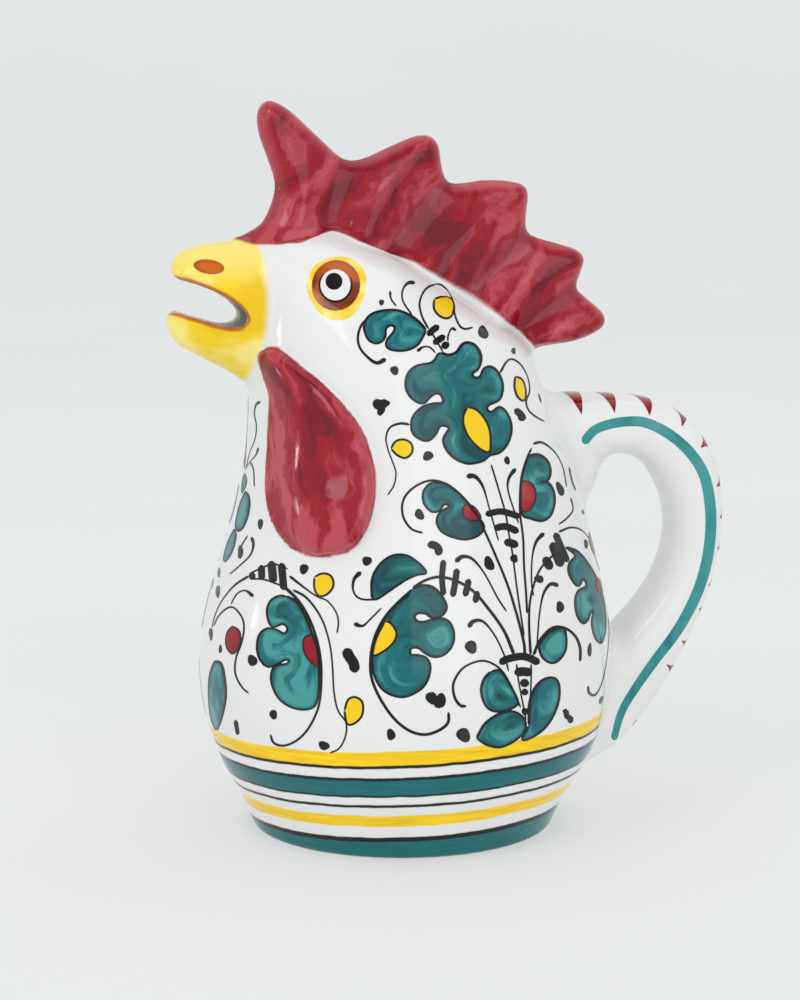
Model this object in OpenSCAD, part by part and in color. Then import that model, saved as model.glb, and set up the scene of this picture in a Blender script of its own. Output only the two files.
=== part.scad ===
// Rooster-shaped glazed ceramic pitcher, pouring through the open beak.
// The rooster looks along -X, its handle is at +X, and it stands on z = 0.

/* [Overall] */
// Widest diameter of the belly
belly_d = 142; // [100:1:200]
// Wall of the body and head
wall = 5; // [3:0.5:7]
// Height at which the neck is luted to the body
neck_h = 150; // [120:1:180]
// Rise of the head's crown above the neck's joint
crown_rise = 58; // [50:1:68]
// Glaze-filled gap left where two pieces are luted together
lute_gap = 0.15; // [0.1:0.05:0.3]

/* [Base] */
// Thickness of the base slab at its rim
base_t = 6; // [4:0.5:9]
// Width of the flat ring that the pitcher stands on
foot_ring_w = 11; // [6:0.5:18]
// Depth of the recess inside the foot ring
foot_recess = 2; // [1:0.5:3]
// Radius of the worn edge round the foot
foot_edge_r = 1.2; // [0.5:0.1:2]

/* [Beak] */
// Reach of the beak's tip in front of the axis
beak_reach = 80.5; // [70:0.5:95]
// Rise of the mouth's corner above the neck's joint
mouth_rise = 27.7; // [24:0.1:32]
// Height of the beak where it meets the head
beak_h = 48; // [38:1:54]
// Width of the beak where it meets the head
beak_w = 31; // [24:1:38]
// Wall of the beak
beak_wall = 4; // [3:0.5:6]

/* [Comb] */
// Rise of the comb's front tip above the crown
comb_rise = 42; // [32:1:52]
// Reach of the comb's last lobe behind the axis
comb_back = 72.5; // [64:0.5:84]
// Thickness of the comb along its root
comb_root_t = 24; // [16:1:30]
// Thickness of the comb's tips
comb_tip_t = 8.5; // [6:0.5:12]

/* [Wattles] */
// Length of a wattle down the throat and breast
wattle_l = 65.4; // [52:0.2:72]
// Widest part of a wattle
wattle_w = 42.6; // [32:0.2:48]
// Thickness of a wattle at its fullest
wattle_t = 7; // [4:0.5:9]

/* [Handle] */
// How far the handle stands out behind the belly's radius
handle_out = 43; // [34:1:56]
// How far the handle's arch starts below the neck's joint
handle_drop = 2; // [1:0.5:8]
// Thickness of the handle at its thinnest
handle_t = 18; // [12:0.5:20]
// Width of the handle across the grip
handle_w = 27; // [20:1:36]

/* [Hidden] */

white_glaze = [0.93, 0.93, 0.91];
teal_glaze = [0.13, 0.47, 0.47];
yellow_glaze = [0.93, 0.78, 0.14];
red_glaze = [0.55, 0.10, 0.18];

belly_r = belly_d / 2;
crown_h = neck_h + crown_rise;
mouth_z = neck_h + mouth_rise;
handle_h = neck_h - handle_drop;
// Points round a section of the body, and steps between two stations of it
around = 64;
steps = 2;

// Outer form of body and head. Each row is a height as a share of crown_h,
// then the reach forward, backward and sideways as shares of belly_r.
form_shares = [
    [0.0000, 0.735, 0.735, 0.735],
    [0.0290, 0.768, 0.771, 0.770],
    [0.0600, 0.808, 0.818, 0.812],
    [0.0960, 0.868, 0.884, 0.876],
    [0.1440, 0.928, 0.952, 0.940],
    [0.2020, 0.974, 1.001, 0.987],
    [0.2640, 0.993, 1.021, 1.007],
    [0.3270, 0.982, 1.020, 1.000],
    [0.3850, 0.946, 0.997, 0.972],
    [0.4420, 0.899, 0.956, 0.930],
    [0.5000, 0.848, 0.915, 0.885],
    [0.5580, 0.803, 0.873, 0.840],
    [0.6150, 0.766, 0.825, 0.797],
    [0.6680, 0.749, 0.763, 0.758],
    [0.7210, 0.744, 0.696, 0.718],
    [0.7600, 0.741, 0.651, 0.690],
    [0.7980, 0.738, 0.614, 0.654],
    [0.8370, 0.732, 0.486, 0.600],
    [0.8750, 0.727, 0.310, 0.530],
    [0.9130, 0.725, 0.148, 0.437],
    [0.9470, 0.725, -0.014, 0.338],
    [0.9710, 0.704, -0.169, 0.239],
    [0.9880, 0.648, -0.268, 0.148],
    [0.9970, 0.563, -0.338, 0.070],
    [1.0000, 0.465, -0.408, 0.011]];

// Cubic blend of one column of a table at height share h, kept level at the ends
function row_at(tab, h, i = 0) =
    i >= len(tab) - 2 || tab[i + 1][0] >= h ? i : row_at(tab, h, i + 1);
function slope(tab, i, c) =
    i <= 0 ? (tab[1][c] - tab[0][c]) / (tab[1][0] - tab[0][0])
    : i >= len(tab) - 1
      ? (tab[i][c] - tab[i - 1][c]) / (tab[i][0] - tab[i - 1][0])
      : (tab[i + 1][c] - tab[i - 1][c]) / (tab[i + 1][0] - tab[i - 1][0]);
function blend(tab, h, c) =
    let (i = row_at(tab, h),
         d = tab[i + 1][0] - tab[i][0],
         t = max(0, min(1, (h - tab[i][0]) / d)),
         a = tab[i][c],
         b = tab[i + 1][c],
         m = slope(tab, i, c) * d,
         n = slope(tab, i + 1, c) * d)
    a * (1 + 2 * t) * (1 - t) * (1 - t) + m * t * (1 - t) * (1 - t)
    + b * t * t * (3 - 2 * t) - n * t * t * (1 - t);

// Centre, half length and half width of the outer form at height z
function form_front(z) = belly_r * blend(form_shares, z / crown_h, 1);
function form_back(z) = belly_r * blend(form_shares, z / crown_h, 2);
function form_side(z) = belly_r * blend(form_shares, z / crown_h, 3);
function form_mid(z) = (form_back(z) - form_front(z)) / 2;
function form_half(z) = (form_back(z) + form_front(z)) / 2;

// Ring of the form at height z, drawn in by inset (out when it is negative)
function form_ring(z, inset, at = undef) =
    let (h = is_undef(at) ? z : at)
    [for (k = [0:around - 1])
        [form_mid(h) + max(form_half(h) - inset, lute_gap) * cos(360 * k / around),
         max(form_side(h) - inset, lute_gap) * sin(360 * k / around),
         z]];

// Point on the form at angle a from the front, side s, lifted off by lift
function form_point(a, z, s, lift) =
    [form_mid(z) - (form_half(z) + lift) * cos(a),
     s * (form_side(z) + lift) * sin(a),
     z];

// Heights of the stations from z0 to z1, at the table's rows and between them
function station_list(z0, z1) =
    [for (i = [0:len(form_shares) - 2])
        for (j = [0:steps - 1])
            let (a = form_shares[i][0], b = form_shares[i + 1][0],
                 z = crown_h * (a + (b - a) * j / steps))
            if (z > z0 + wall / 4 && z < z1 - wall / 4) z];
function stations(z0, z1) = concat([z0], station_list(z0, z1), [z1]);

// Closed solid through a list of equal rings, with both ends capped
module loft(rings) {
    n = len(rings[0]);
    m = len(rings);
    polyhedron(
        points = [for (r = rings) for (p = r) p],
        faces = concat(
            [[for (k = [0:n - 1]) k]],
            [for (i = [0:m - 2])
                for (k = [0:n - 1])
                    let (q = (k + 1) % n)
                    each [[i * n + k, (i + 1) * n + k, i * n + q],
                          [i * n + q, (i + 1) * n + k, (i + 1) * n + q]]],
            [[for (k = [n - 1:-1:0]) (m - 1) * n + k]]));
}

// Closed wall through rings that run up the outside and down the inside
module wall_loft(rings) {
    n = len(rings[0]);
    m = len(rings);
    polyhedron(
        points = [for (r = rings) for (p = r) p],
        faces = [for (i = [0:m - 1])
            for (k = [0:n - 1])
                let (q = (k + 1) % n, j = (i + 1) % m)
                each [[i * n + k, j * n + k, i * n + q],
                      [i * n + q, j * n + k, j * n + q]]]);
}

function reversed(list) = [for (i = [len(list) - 1:-1:0]) list[i]];

module form_solid(z0, z1, inset) {
    loft([for (z = stations(z0, z1)) form_ring(z, inset)]);
}

// Base: the slab that closes the bottom, with a flat foot ring
foot_r = form_side(0) - foot_edge_r;
base_top_r = form_side(base_t);
recess_edge = foot_recess;

module base() {
    color(teal_glaze)
        rotate_extrude($fn = 128)
            polygon([
                [0, foot_recess],
                [foot_r - foot_ring_w - recess_edge, foot_recess],
                [foot_r - foot_ring_w, 0],
                [foot_r, 0],
                [foot_r + foot_edge_r * cos(45), foot_edge_r * (1 - sin(45))],
                [foot_r + foot_edge_r, foot_edge_r],
                [base_top_r, base_t],
                [0, base_t]]);
}

// Body: the thrown belly and shoulder, open at the bottom and at the neck
module body() {
    levels = stations(base_t, neck_h);
    color(white_glaze)
        wall_loft(concat(
            [for (z = levels) form_ring(z, 0)],
            [for (z = reversed(levels)) form_ring(z, wall)]));
}

// Beak: stations from inside the head to the tip. Each row is the reach as a
// share of beak_reach, the middle's height above the mouth as a share of
// beak_h, the half height as a share of beak_h, the half width of beak_w.
beak_shares = [
    [0.50, 0.010, 0.520, 0.520],
    [0.62, 0.020, 0.510, 0.510],
    [0.69, 0.042, 0.492, 0.480],
    [0.76, 0.072, 0.452, 0.436],
    [0.83, 0.098, 0.414, 0.392],
    [0.89, 0.112, 0.374, 0.343],
    [0.94, 0.118, 0.334, 0.292],
    [0.98, 0.120, 0.284, 0.215],
    [1.00, 0.120, 0.236, 0.135]];
// Lip lines as shares of beak_reach and, above the mouth, of beak_h
upper_lip_shares = [
    [1.12, 0.280], [0.98, 0.268], [0.92, 0.248], [0.86, 0.214],
    [0.80, 0.170], [0.75, 0.122], [0.705, 0.058], [0.680, 0.000]];
lower_lip_shares = [
    [1.12, 0.030], [0.98, 0.024], [0.92, 0.000], [0.86, -0.026],
    [0.80, -0.050], [0.75, -0.062], [0.705, -0.048], [0.680, 0.000]];
beak_end_share = 0.50;
disc_t = lute_gap / 5;

module beak_disc(row, inset) {
    translate([-beak_reach * row[0], 0, mouth_z + beak_h * row[1]])
        rotate([0, 90, 0])
            scale([beak_h * row[2] - inset, beak_w * row[3] - inset, 1])
                cylinder(r = 1, h = disc_t, center = true, $fn = 40);
}

module beak_form(inset) {
    for (i = [0:len(beak_shares) - 2]) {
        hull() {
            beak_disc(beak_shares[i], inset);
            beak_disc(beak_shares[i + 1], inset);
        }
    }
}

// Everything above (side 1) or below (side -1) one lip line
module lip_side(shares, side, gap) {
    edge = [for (s = shares) [-beak_reach * s[0], mouth_z + beak_h * s[1] + gap]];
    last = [-beak_reach * beak_end_share + wall, mouth_z + gap];
    rotate([90, 0, 0])
        linear_extrude(beak_w * 2, center = true)
            polygon(concat(
                edge,
                [last,
                 [last[0], mouth_z + side * beak_h],
                 [edge[0][0], mouth_z + side * beak_h]]));
}

// Passage from the head's cavity to the open beak
module beak_passage() {
    beak_form(beak_wall);
    hull() {
        beak_disc(beak_shares[0], beak_wall);
        translate([wall * 4, 0, 0]) beak_disc(beak_shares[0], beak_wall);
    }
}

module upper_beak() {
    color(yellow_glaze)
        difference() {
            intersection() {
                beak_form(0);
                lip_side(upper_lip_shares, 1, lute_gap / 2);
            }
            beak_passage();
            form_solid(neck_h, crown_h, -lute_gap);
        }
}

module lower_beak() {
    color(yellow_glaze)
        difference() {
            intersection() {
                beak_form(0);
                lip_side(lower_lip_shares, -1, -lute_gap / 2);
            }
            beak_passage();
            form_solid(neck_h, crown_h, -lute_gap);
            form_solid(neck_h - belly_r / 4, neck_h + lute_gap, -lute_gap);
        }
}

// Head: a hollow dome, open to the neck below and to the beak in front
dome_rise = wall * 0.6;
dome_inset = wall * 0.8;
dome_top = crown_h - wall * 1.15;

module head() {
    color(white_glaze)
        difference() {
            form_solid(neck_h, crown_h, 0);
            loft(concat(
                [form_ring(neck_h - wall, wall, neck_h)],
                [for (z = stations(neck_h + lute_gap, dome_top))
                    form_ring(z, z < neck_h + wall ? wall : dome_inset,
                              z < neck_h + wall ? z : z + dome_rise)]));
            beak_passage();
        }
}

// Comb: lobes that swell from a thick root to rounded tips. Places are
// shares: along from the beak's root to comb_back, and up from the root.
comb_front = beak_reach * 0.66;
comb_l = comb_front + comb_back;
// Lobe tips and the valleys between them, on the comb's crest
tip_shares = [
    [0.060, 1.000], [0.478, 0.700], [0.745, 0.330], [0.920, -0.200], [1.000, -0.800]];
valley_shares = [
    [0.070, 0.330], [0.290, 0.500], [0.560, 0.350], [0.762, -0.030], [0.905, -0.550],
    [0.865, -0.990]];
// Root of the comb, just inside the crown of the head: along, up, then the
// thickness there as a share of comb_root_t
root_shares = [
    [0.042, -0.100, 0.50], [0.220, -0.120, 1.00], [0.420, -0.340, 1.00],
    [0.590, -0.640, 1.00], [0.720, -0.800, 0.90], [0.770, -0.880, 0.70]];
crest_t = (comb_root_t + comb_tip_t) * 0.40;

module comb_ball(share, t, fn = 20) {
    translate([comb_l * share[0] - comb_front, 0, crown_h + comb_rise * share[1]])
        sphere(d = t, $fn = fn);
}

// A crest point is drawn in by its own radius so that the crest ends there
function inward(share, from, t) =
    let (dx = comb_l * (from[0] - share[0]),
         dz = comb_rise * (from[1] - share[1]),
         d = max(norm([dx, dz]), comb_tip_t / 10))
    [share[0] + dx / d * t / 2 / comb_l, share[1] + dz / d * t / 2 / comb_rise];

module comb_lobe(i) {
    foot = root_shares[i];
    next = root_shares[i + 1];
    mid = (foot + next) / 2;
    hull() {
        comb_ball(inward(tip_shares[i], mid, comb_tip_t), comb_tip_t);
        comb_ball(inward(valley_shares[i], mid, crest_t), crest_t);
        comb_ball(inward(valley_shares[i + 1], mid, crest_t), crest_t);
    }
    hull() {
        comb_ball(inward(valley_shares[i], mid, crest_t), crest_t);
        comb_ball(inward(valley_shares[i + 1], mid, crest_t), crest_t);
        comb_ball(foot, comb_root_t * foot[2], 28);
        comb_ball(next, comb_root_t * next[2], 28);
    }
}

module comb() {
    color(red_glaze)
        difference() {
            union() {
                for (i = [0:len(tip_shares) - 1]) comb_lobe(i);
            }
            form_solid(neck_h, crown_h, -lute_gap);
            hull() {
                beak_disc(beak_shares[0], -3 * lute_gap);
                beak_disc(beak_shares[2], -3 * lute_gap);
            }
        }
}

// Wattles: drop-shaped pads laid on throat and breast. Each row is the drop
// below the top as a share of wattle_l, the angle from the front in degrees,
// the half width as a share of wattle_w and the thickness of wattle_t.
wattle_top = mouth_z - beak_h * 0.198;
wattle_shares = [
    [0.000, 29.5, 0.020, 0.100],
    [0.020, 30.0, 0.140, 0.300],
    [0.060, 30.9, 0.242, 0.460],
    [0.140, 36.4, 0.289, 0.560],
    [0.240, 41.4, 0.338, 0.640],
    [0.360, 43.9, 0.420, 0.720],
    [0.460, 44.9, 0.467, 0.790],
    [0.615, 45.8, 0.499, 0.920],
    [0.725, 46.8, 0.488, 1.000],
    [0.840, 48.4, 0.425, 1.000],
    [0.920, 50.0, 0.326, 0.860],
    [0.974, 51.1, 0.193, 0.560],
    [1.000, 51.3, 0.020, 0.150]];
wattle_rows = 26;
wattle_cols = 12;

function wattle_ring(h, side) =
    let (z = wattle_top - wattle_l * h,
         mid = blend(wattle_shares, h, 1),
         half = wattle_w * max(blend(wattle_shares, h, 2), 0.012),
         t = wattle_t * max(blend(wattle_shares, h, 3), 0.05),
         deg = 180 * half / PI / form_side(z))
    concat(
        [for (k = [0:wattle_cols])
            let (a = 180 * k / wattle_cols)
            form_point(mid + deg * cos(a), z, side, lute_gap + t * pow(sin(a), 0.7))],
        [for (k = [1:wattle_cols - 1])
            form_point(mid - deg * cos(180 * k / wattle_cols), z, side, lute_gap)]);

module wattle(side) {
    rings = [for (i = [0:wattle_rows]) wattle_ring(i / wattle_rows, side)];
    color(red_glaze)
        loft(side < 0 ? rings : reversed(rings));
}

module wattle_left() {
    wattle(-1);
}

module wattle_right() {
    wattle(1);
}

// Handle: a pulled strap with both ends pressed onto the body. Each row is
// the reach behind the belly's radius as a share of handle_out, the height
// as a share of handle_h, then thickness and width as shares of theirs.
strap_shares = [
    [-0.023, 0.930, 1.18, 1.06],
    [0.191, 0.925, 1.06, 1.00],
    [0.385, 0.897, 1.01, 1.00],
    [0.544, 0.856, 1.00, 1.00],
    [0.666, 0.806, 1.00, 1.00],
    [0.748, 0.750, 1.00, 1.00],
    [0.785, 0.690, 1.00, 1.00],
    [0.769, 0.631, 1.00, 1.00],
    [0.711, 0.571, 1.02, 1.01],
    [0.621, 0.514, 1.06, 1.03],
    [0.504, 0.459, 1.14, 1.06],
    [0.374, 0.409, 1.28, 1.10],
    [0.305, 0.372, 1.36, 1.14]];
// Where each end is pressed on: height, half height and half width there, as
// shares of handle_h, handle_t and handle_w
upper_seat_shares = [0.922, 0.735, 0.63];
lower_seat_shares = [0.275, 1.40, 0.67];
seat_steps = [0.02, 0.25, 0.5, 0.75, 1];
strap_steps = 3;
strap_around = 32;

function strap_table() =
    [for (i = [0:len(strap_shares) - 1]) concat([i], strap_shares[i])];
function strap_at(i) =
    [belly_r + handle_out * blend(strap_table(), i, 1),
     handle_h * blend(strap_table(), i, 2),
     handle_t * blend(strap_table(), i, 3) / 2,
     handle_w * blend(strap_table(), i, 4) / 2];

function strap_ring(i) =
    let (s = strap_at(i),
         p = strap_at(max(i - 0.3, 0)),
         q = strap_at(min(i + 0.3, len(strap_shares) - 1)),
         turn = atan2(q[1] - p[1], q[0] - p[0]))
    [for (k = [0:strap_around - 1])
        let (a = 360 * k / strap_around)
        [s[0] - s[2] * cos(a) * sin(turn), s[3] * sin(a), s[1] + s[2] * cos(a) * cos(turn)]];

// Ring of an end's seat, on the body's back and clear of it by the lute gap
function seat_ring(seat, up, grow) =
    [for (k = [0:strap_around - 1])
        let (a = 360 * k / strap_around,
             y = handle_w * seat[2] * grow * sin(a),
             z = handle_h * seat[0] + up * handle_t * seat[1] * grow * cos(a),
             in = y / (form_side(z) + lute_gap))
        [form_mid(z) + (form_half(z) + lute_gap) * sqrt(1 - in * in), y, z]];

module handle() {
    last = (len(strap_shares) - 1) * strap_steps;
    color(white_glaze)
        loft(reversed(concat(
            [for (g = seat_steps) seat_ring(upper_seat_shares, 1, g)],
            [for (i = [0:last]) strap_ring(i / strap_steps)],
            [for (g = reversed(seat_steps)) seat_ring(lower_seat_shares, -1, g)])));
}

base();
body();
head();
upper_beak();
lower_beak();
comb();
wattle_left();
wattle_right();
handle();
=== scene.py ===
import math
import bpy
import bmesh
import mathutils
import numpy as np
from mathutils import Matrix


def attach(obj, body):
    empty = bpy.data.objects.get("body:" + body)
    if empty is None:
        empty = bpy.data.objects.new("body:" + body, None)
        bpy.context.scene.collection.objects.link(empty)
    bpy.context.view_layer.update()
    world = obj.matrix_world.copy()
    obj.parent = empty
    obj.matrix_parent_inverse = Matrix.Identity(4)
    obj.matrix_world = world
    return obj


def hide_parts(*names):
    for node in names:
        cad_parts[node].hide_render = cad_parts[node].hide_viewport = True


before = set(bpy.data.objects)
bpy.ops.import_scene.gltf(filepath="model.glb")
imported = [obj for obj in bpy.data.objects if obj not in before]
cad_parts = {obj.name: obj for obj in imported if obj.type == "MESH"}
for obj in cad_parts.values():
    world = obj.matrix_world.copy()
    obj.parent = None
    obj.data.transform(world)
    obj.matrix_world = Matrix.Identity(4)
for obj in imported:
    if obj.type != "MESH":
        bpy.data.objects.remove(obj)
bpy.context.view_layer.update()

# Body: a pot thrown on the wheel in one wall from the foot to the crown, then
# squeezed into the rooster's breast and head. Its outside is given by sections
# at heights, in mm, and the hollow follows it at the thickness of the wall.
CROWN_H = 208.0
BELLY_R = 71.0
WALL = 5.0
FLOOR_H = 6.0
FOOT_EDGE_R = 1.4
RECESS_R = 39.0
RECESS_H = 2.0
NECK_H = 150.0
# Each row: height as a share of CROWN_H, then the reach forward, backward and
# sideways as shares of BELLY_R
BODY_SECTIONS = (
    (0.000, 0.735, 0.735, 0.735),
    (0.029, 0.768, 0.771, 0.770),
    (0.060, 0.808, 0.818, 0.812),
    (0.096, 0.868, 0.884, 0.876),
    (0.144, 0.928, 0.952, 0.940),
    (0.202, 0.974, 1.001, 0.987),
    (0.264, 0.993, 1.021, 1.007),
    (0.327, 0.982, 1.020, 1.000),
    (0.385, 0.946, 0.997, 0.972),
    (0.442, 0.899, 0.956, 0.930),
    (0.500, 0.848, 0.915, 0.885),
    (0.558, 0.803, 0.873, 0.840),
    (0.615, 0.766, 0.825, 0.797),
    (0.668, 0.749, 0.763, 0.758),
    (0.721, 0.744, 0.696, 0.718),
    (0.760, 0.741, 0.651, 0.690),
    (0.798, 0.738, 0.614, 0.654),
    (0.837, 0.732, 0.486, 0.600),
    (0.875, 0.727, 0.310, 0.530),
    (0.913, 0.725, 0.148, 0.437),
    (0.947, 0.725, -0.014, 0.338),
    (0.971, 0.704, -0.169, 0.239),
    (0.988, 0.648, -0.268, 0.148),
    (0.997, 0.563, -0.338, 0.070),
    (1.000, 0.465, -0.408, 0.011))


def smooth_column(rows, column, places):
    """Cubic blend of one column of a table at the given places."""
    table = np.array(rows, dtype=float)
    x = table[:, 0]
    y = table[:, column]
    slope = np.gradient(y)
    slope[1:-1] = (y[2:] - y[:-2]) / (x[2:] - x[:-2])
    slope[0] = (y[1] - y[0]) / (x[1] - x[0])
    slope[-1] = (y[-1] - y[-2]) / (x[-1] - x[-2])
    i = np.clip(np.searchsorted(x, places) - 1, 0, len(x) - 2)
    d = x[i + 1] - x[i]
    t = np.clip((places - x[i]) / d, 0, 1)
    rise = slope[i] * d * t * (1 - t) ** 2 - slope[i + 1] * d * t * t * (1 - t)
    return y[i] * (1 + 2 * t) * (1 - t) ** 2 + y[i + 1] * t * t * (3 - 2 * t) + rise


LEVELS = np.linspace(0.0, CROWN_H, 1041)
FRONT = BELLY_R * smooth_column(BODY_SECTIONS, 1, LEVELS / CROWN_H)
BACK = BELLY_R * smooth_column(BODY_SECTIONS, 2, LEVELS / CROWN_H)
SIDE = BELLY_R * smooth_column(BODY_SECTIONS, 3, LEVELS / CROWN_H)
MID_X = (BACK - FRONT) / 2
HALF_X = (BACK + FRONT) / 2
# Slopes of the sections, held to the steepest that shows outside the comb
STEEPEST = 2.0
MID_SLOPE, HALF_SLOPE, SIDE_SLOPE = (
    np.clip(np.gradient(column, LEVELS), -STEEPEST, STEEPEST)
    for column in (MID_X, HALF_X, SIDE))


def at_level(column, z):
    """Value of a column of the body's sections at a height."""
    return np.interp(z, LEVELS, column)


def body_gap(x, y, z):
    """Distance outside the body's skin, negative inside the clay."""
    m = at_level(MID_X, z)
    h = at_level(HALF_X, z)
    s = at_level(SIDE, z)
    u = (x - m) / h
    v = y / s
    r = np.sqrt(u * u + v * v) + 1e-6
    a = u / r
    b = v / r
    lean = (a * at_level(MID_SLOPE, z) + a * a * at_level(HALF_SLOPE, z)) / h
    lean += b * b * at_level(SIDE_SLOPE, z) / s
    gap = (r - 1) / np.sqrt((a / h) ** 2 + (b / s) ** 2 + lean ** 2)
    return gap + np.maximum(z - CROWN_H, 0)


def round_cut(a, b, r):
    """The space in both a and b, with their meeting edge rounded to r."""
    inner = np.minimum(np.maximum(a, b), -r)
    return inner + np.hypot(np.maximum(a + r, 0), np.maximum(b + r, 0))


def soft_join(a, b, r):
    """The space in a or b, with a fillet about r wide where they meet."""
    h = np.maximum(r - np.abs(a - b), 0) / r
    return np.minimum(a, b) - h * h * r / 4


# Beak: two hollow halves rolled from a slab and pinched to the head, open at
# the mouth so that the jug pours between them. Reaches in mm ahead of the axis.
BEAK_REACH = 80.5
MOUTH_Z = 177.7
BEAK_H = 48.0
BEAK_W = 31.0
BEAK_WALL = 4.0
MOUTH_CORNER = 54.7
MOUTH_CORNER_R = 1.8
# How much the beak draws in along its length, as a share of its radius per mm
BEAK_DRAW_SHARE = 0.012
# Each row: the reach as a share of BEAK_REACH, the middle above MOUTH_Z and the
# half height as shares of BEAK_H, the half width as a share of BEAK_W
BEAK_SECTIONS = (
    (0.50, 0.010, 0.520, 0.520),
    (0.62, 0.020, 0.510, 0.510),
    (0.69, 0.042, 0.492, 0.480),
    (0.76, 0.072, 0.452, 0.436),
    (0.83, 0.098, 0.414, 0.392),
    (0.89, 0.112, 0.374, 0.343),
    (0.94, 0.118, 0.334, 0.292),
    (0.98, 0.120, 0.284, 0.215),
    (1.00, 0.120, 0.236, 0.135))
# Lip lines: reach as a share of BEAK_REACH, height as a share of BEAK_H
UPPER_LIP = (
    (0.680, 0.000), (0.705, 0.058), (0.75, 0.122), (0.80, 0.170),
    (0.86, 0.214), (0.92, 0.248), (0.98, 0.268), (1.12, 0.280))
LOWER_LIP = (
    (0.680, 0.000), (0.705, -0.048), (0.75, -0.062), (0.80, -0.050),
    (0.86, -0.020), (0.92, 0.012), (0.98, 0.042), (1.12, 0.050))
# The tips seen from the side: height above MOUTH_Z and reach beyond BEAK_REACH
BEAK_TIPS = (
    (-6.0, 0.6), (-1.8, 0.8), (0.6, 0.1), (2.4, -1.4), (7.0, -3.0), (13.4, -2.3),
    (17.5, -0.6), (21.0, 0.0))
REACHES = np.linspace(0.50, 1.12, 249)
BEAK_MID = MOUTH_Z + BEAK_H * smooth_column(BEAK_SECTIONS, 1, REACHES)
BEAK_HIGH = BEAK_H * smooth_column(BEAK_SECTIONS, 2, REACHES)
BEAK_WIDE = BEAK_W * smooth_column(BEAK_SECTIONS, 3, REACHES)
LIP_HIGH = MOUTH_Z + BEAK_H * smooth_column(UPPER_LIP, 1, REACHES)
LIP_LOW = MOUTH_Z + BEAK_H * smooth_column(LOWER_LIP, 1, REACHES)


def at_reach(column, x):
    """Value of a column of the beak's sections at a reach."""
    return np.interp(-x / BEAK_REACH, REACHES, column)


def beak_gap(x, y, z):
    """Distance outside the closed beak's skin."""
    high = at_reach(BEAK_HIGH, x)
    wide = at_reach(BEAK_WIDE, x)
    u = (z - at_reach(BEAK_MID, x)) / high
    v = y / wide
    r = np.sqrt(u * u + v * v) + 1e-6
    steep = np.sqrt((u / high) ** 2 + (v / wide) ** 2 + (BEAK_DRAW_SHARE * r) ** 2) / r
    return (r - 1) / steep


def front_gap(x, z):
    """Distance in front of the beak's two rounded tips."""
    return -(x + BEAK_REACH + np.interp(z - MOUTH_Z, *zip(*BEAK_TIPS)))


def mouth_gap(x, z):
    """Distance outside the open wedge between the two lips."""
    between = np.maximum(z - at_reach(LIP_HIGH, x), at_reach(LIP_LOW, x) - z)
    return round_cut(between, x + MOUTH_CORNER, MOUTH_CORNER_R)


# Wattles: two drop-shaped pads of clay pressed onto the throat and breast,
# with their edges rounded by a wet finger.
WATTLE_L = 65.4
WATTLE_W = 42.6
WATTLE_T = 7.0
WATTLE_TOP = MOUTH_Z - BEAK_H * 0.198
# Each row: the drop as a share of WATTLE_L, the angle from the front in degrees,
# the half width as a share of WATTLE_W, the thickness as a share of WATTLE_T
WATTLE_SECTIONS = (
    (0.000, 25.6, 0.020, 0.12),
    (0.020, 25.8, 0.105, 0.34),
    (0.060, 28.0, 0.205, 0.48),
    (0.140, 33.4, 0.305, 0.58),
    (0.240, 39.7, 0.360, 0.64),
    (0.360, 42.3, 0.443, 0.72),
    (0.460, 43.3, 0.490, 0.79),
    (0.615, 44.2, 0.522, 0.92),
    (0.725, 45.2, 0.510, 1.00),
    (0.840, 46.8, 0.446, 1.00),
    (0.920, 48.4, 0.344, 0.86),
    (0.974, 49.6, 0.205, 0.56),
    (1.000, 49.8, 0.020, 0.15))
# A pad is highest in the middle and behind, and lies flatter along its front edge
# except near its top: shares of its thickness, of its half width and of its drop
PAD_CROWN_SHARE = 0.30
PAD_RAMP_SHARE = 1.4
PAD_FRONT_SHARE = 0.30
PAD_TOP_MORE_SHARE = 0.55
PAD_TOP_SHARE = 0.25
PAD_EDGE_R = 3.2
PAD_EDGE_SHARE = 0.8
DROPS = np.linspace(0.0, 1.0, 241)
PAD_MID = np.radians(smooth_column(WATTLE_SECTIONS, 1, DROPS))
PAD_HALF = WATTLE_W * smooth_column(WATTLE_SECTIONS, 2, DROPS)
PAD_T = WATTLE_T * smooth_column(WATTLE_SECTIONS, 3, DROPS)
PAD_FLARE = np.gradient(PAD_HALF, DROPS * WATTLE_L)


def wattle_edge(x, y, z):
    """Distance along the skin outside the pad's outline, the pad's height, and
    the place across the pad from its middle line."""
    drop = (WATTLE_TOP - z) / WATTLE_L
    s = at_level(SIDE, z)
    angle = np.arctan2(np.abs(y) / s, -(x - at_level(MID_X, z)) / at_level(HALF_X, z))
    across = (angle - np.interp(drop, DROPS, PAD_MID)) * s
    half = np.interp(drop, DROPS, PAD_HALF)
    flare = np.interp(drop, DROPS, PAD_FLARE)
    edge = (np.abs(across) - half) / np.sqrt(1 + flare * flare)
    ends = np.maximum(drop - 1, -drop) * WATTLE_L
    share = np.clip(across / np.maximum(half, 1), -1.2, 1.2)
    lift = np.clip((share + 1) / PAD_RAMP_SHARE, 0, 1)
    low = PAD_FRONT_SHARE + PAD_TOP_MORE_SHARE * np.clip(1 - drop / PAD_TOP_SHARE, 0, 1)
    ramp = low + (1 - low) * lift * lift * (3 - 2 * lift)
    crown = (1 - PAD_CROWN_SHARE * share ** 2) * ramp
    return np.maximum(edge, ends), np.interp(drop, DROPS, PAD_T) * crown, across


def wattle_gap(x, y, z, skin):
    """Distance outside a pad that lies on the skin."""
    edge, height, across = wattle_edge(x, y, z)
    return round_cut(edge, skin - height, np.minimum(PAD_EDGE_R, PAD_EDGE_SHARE * height))


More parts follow.
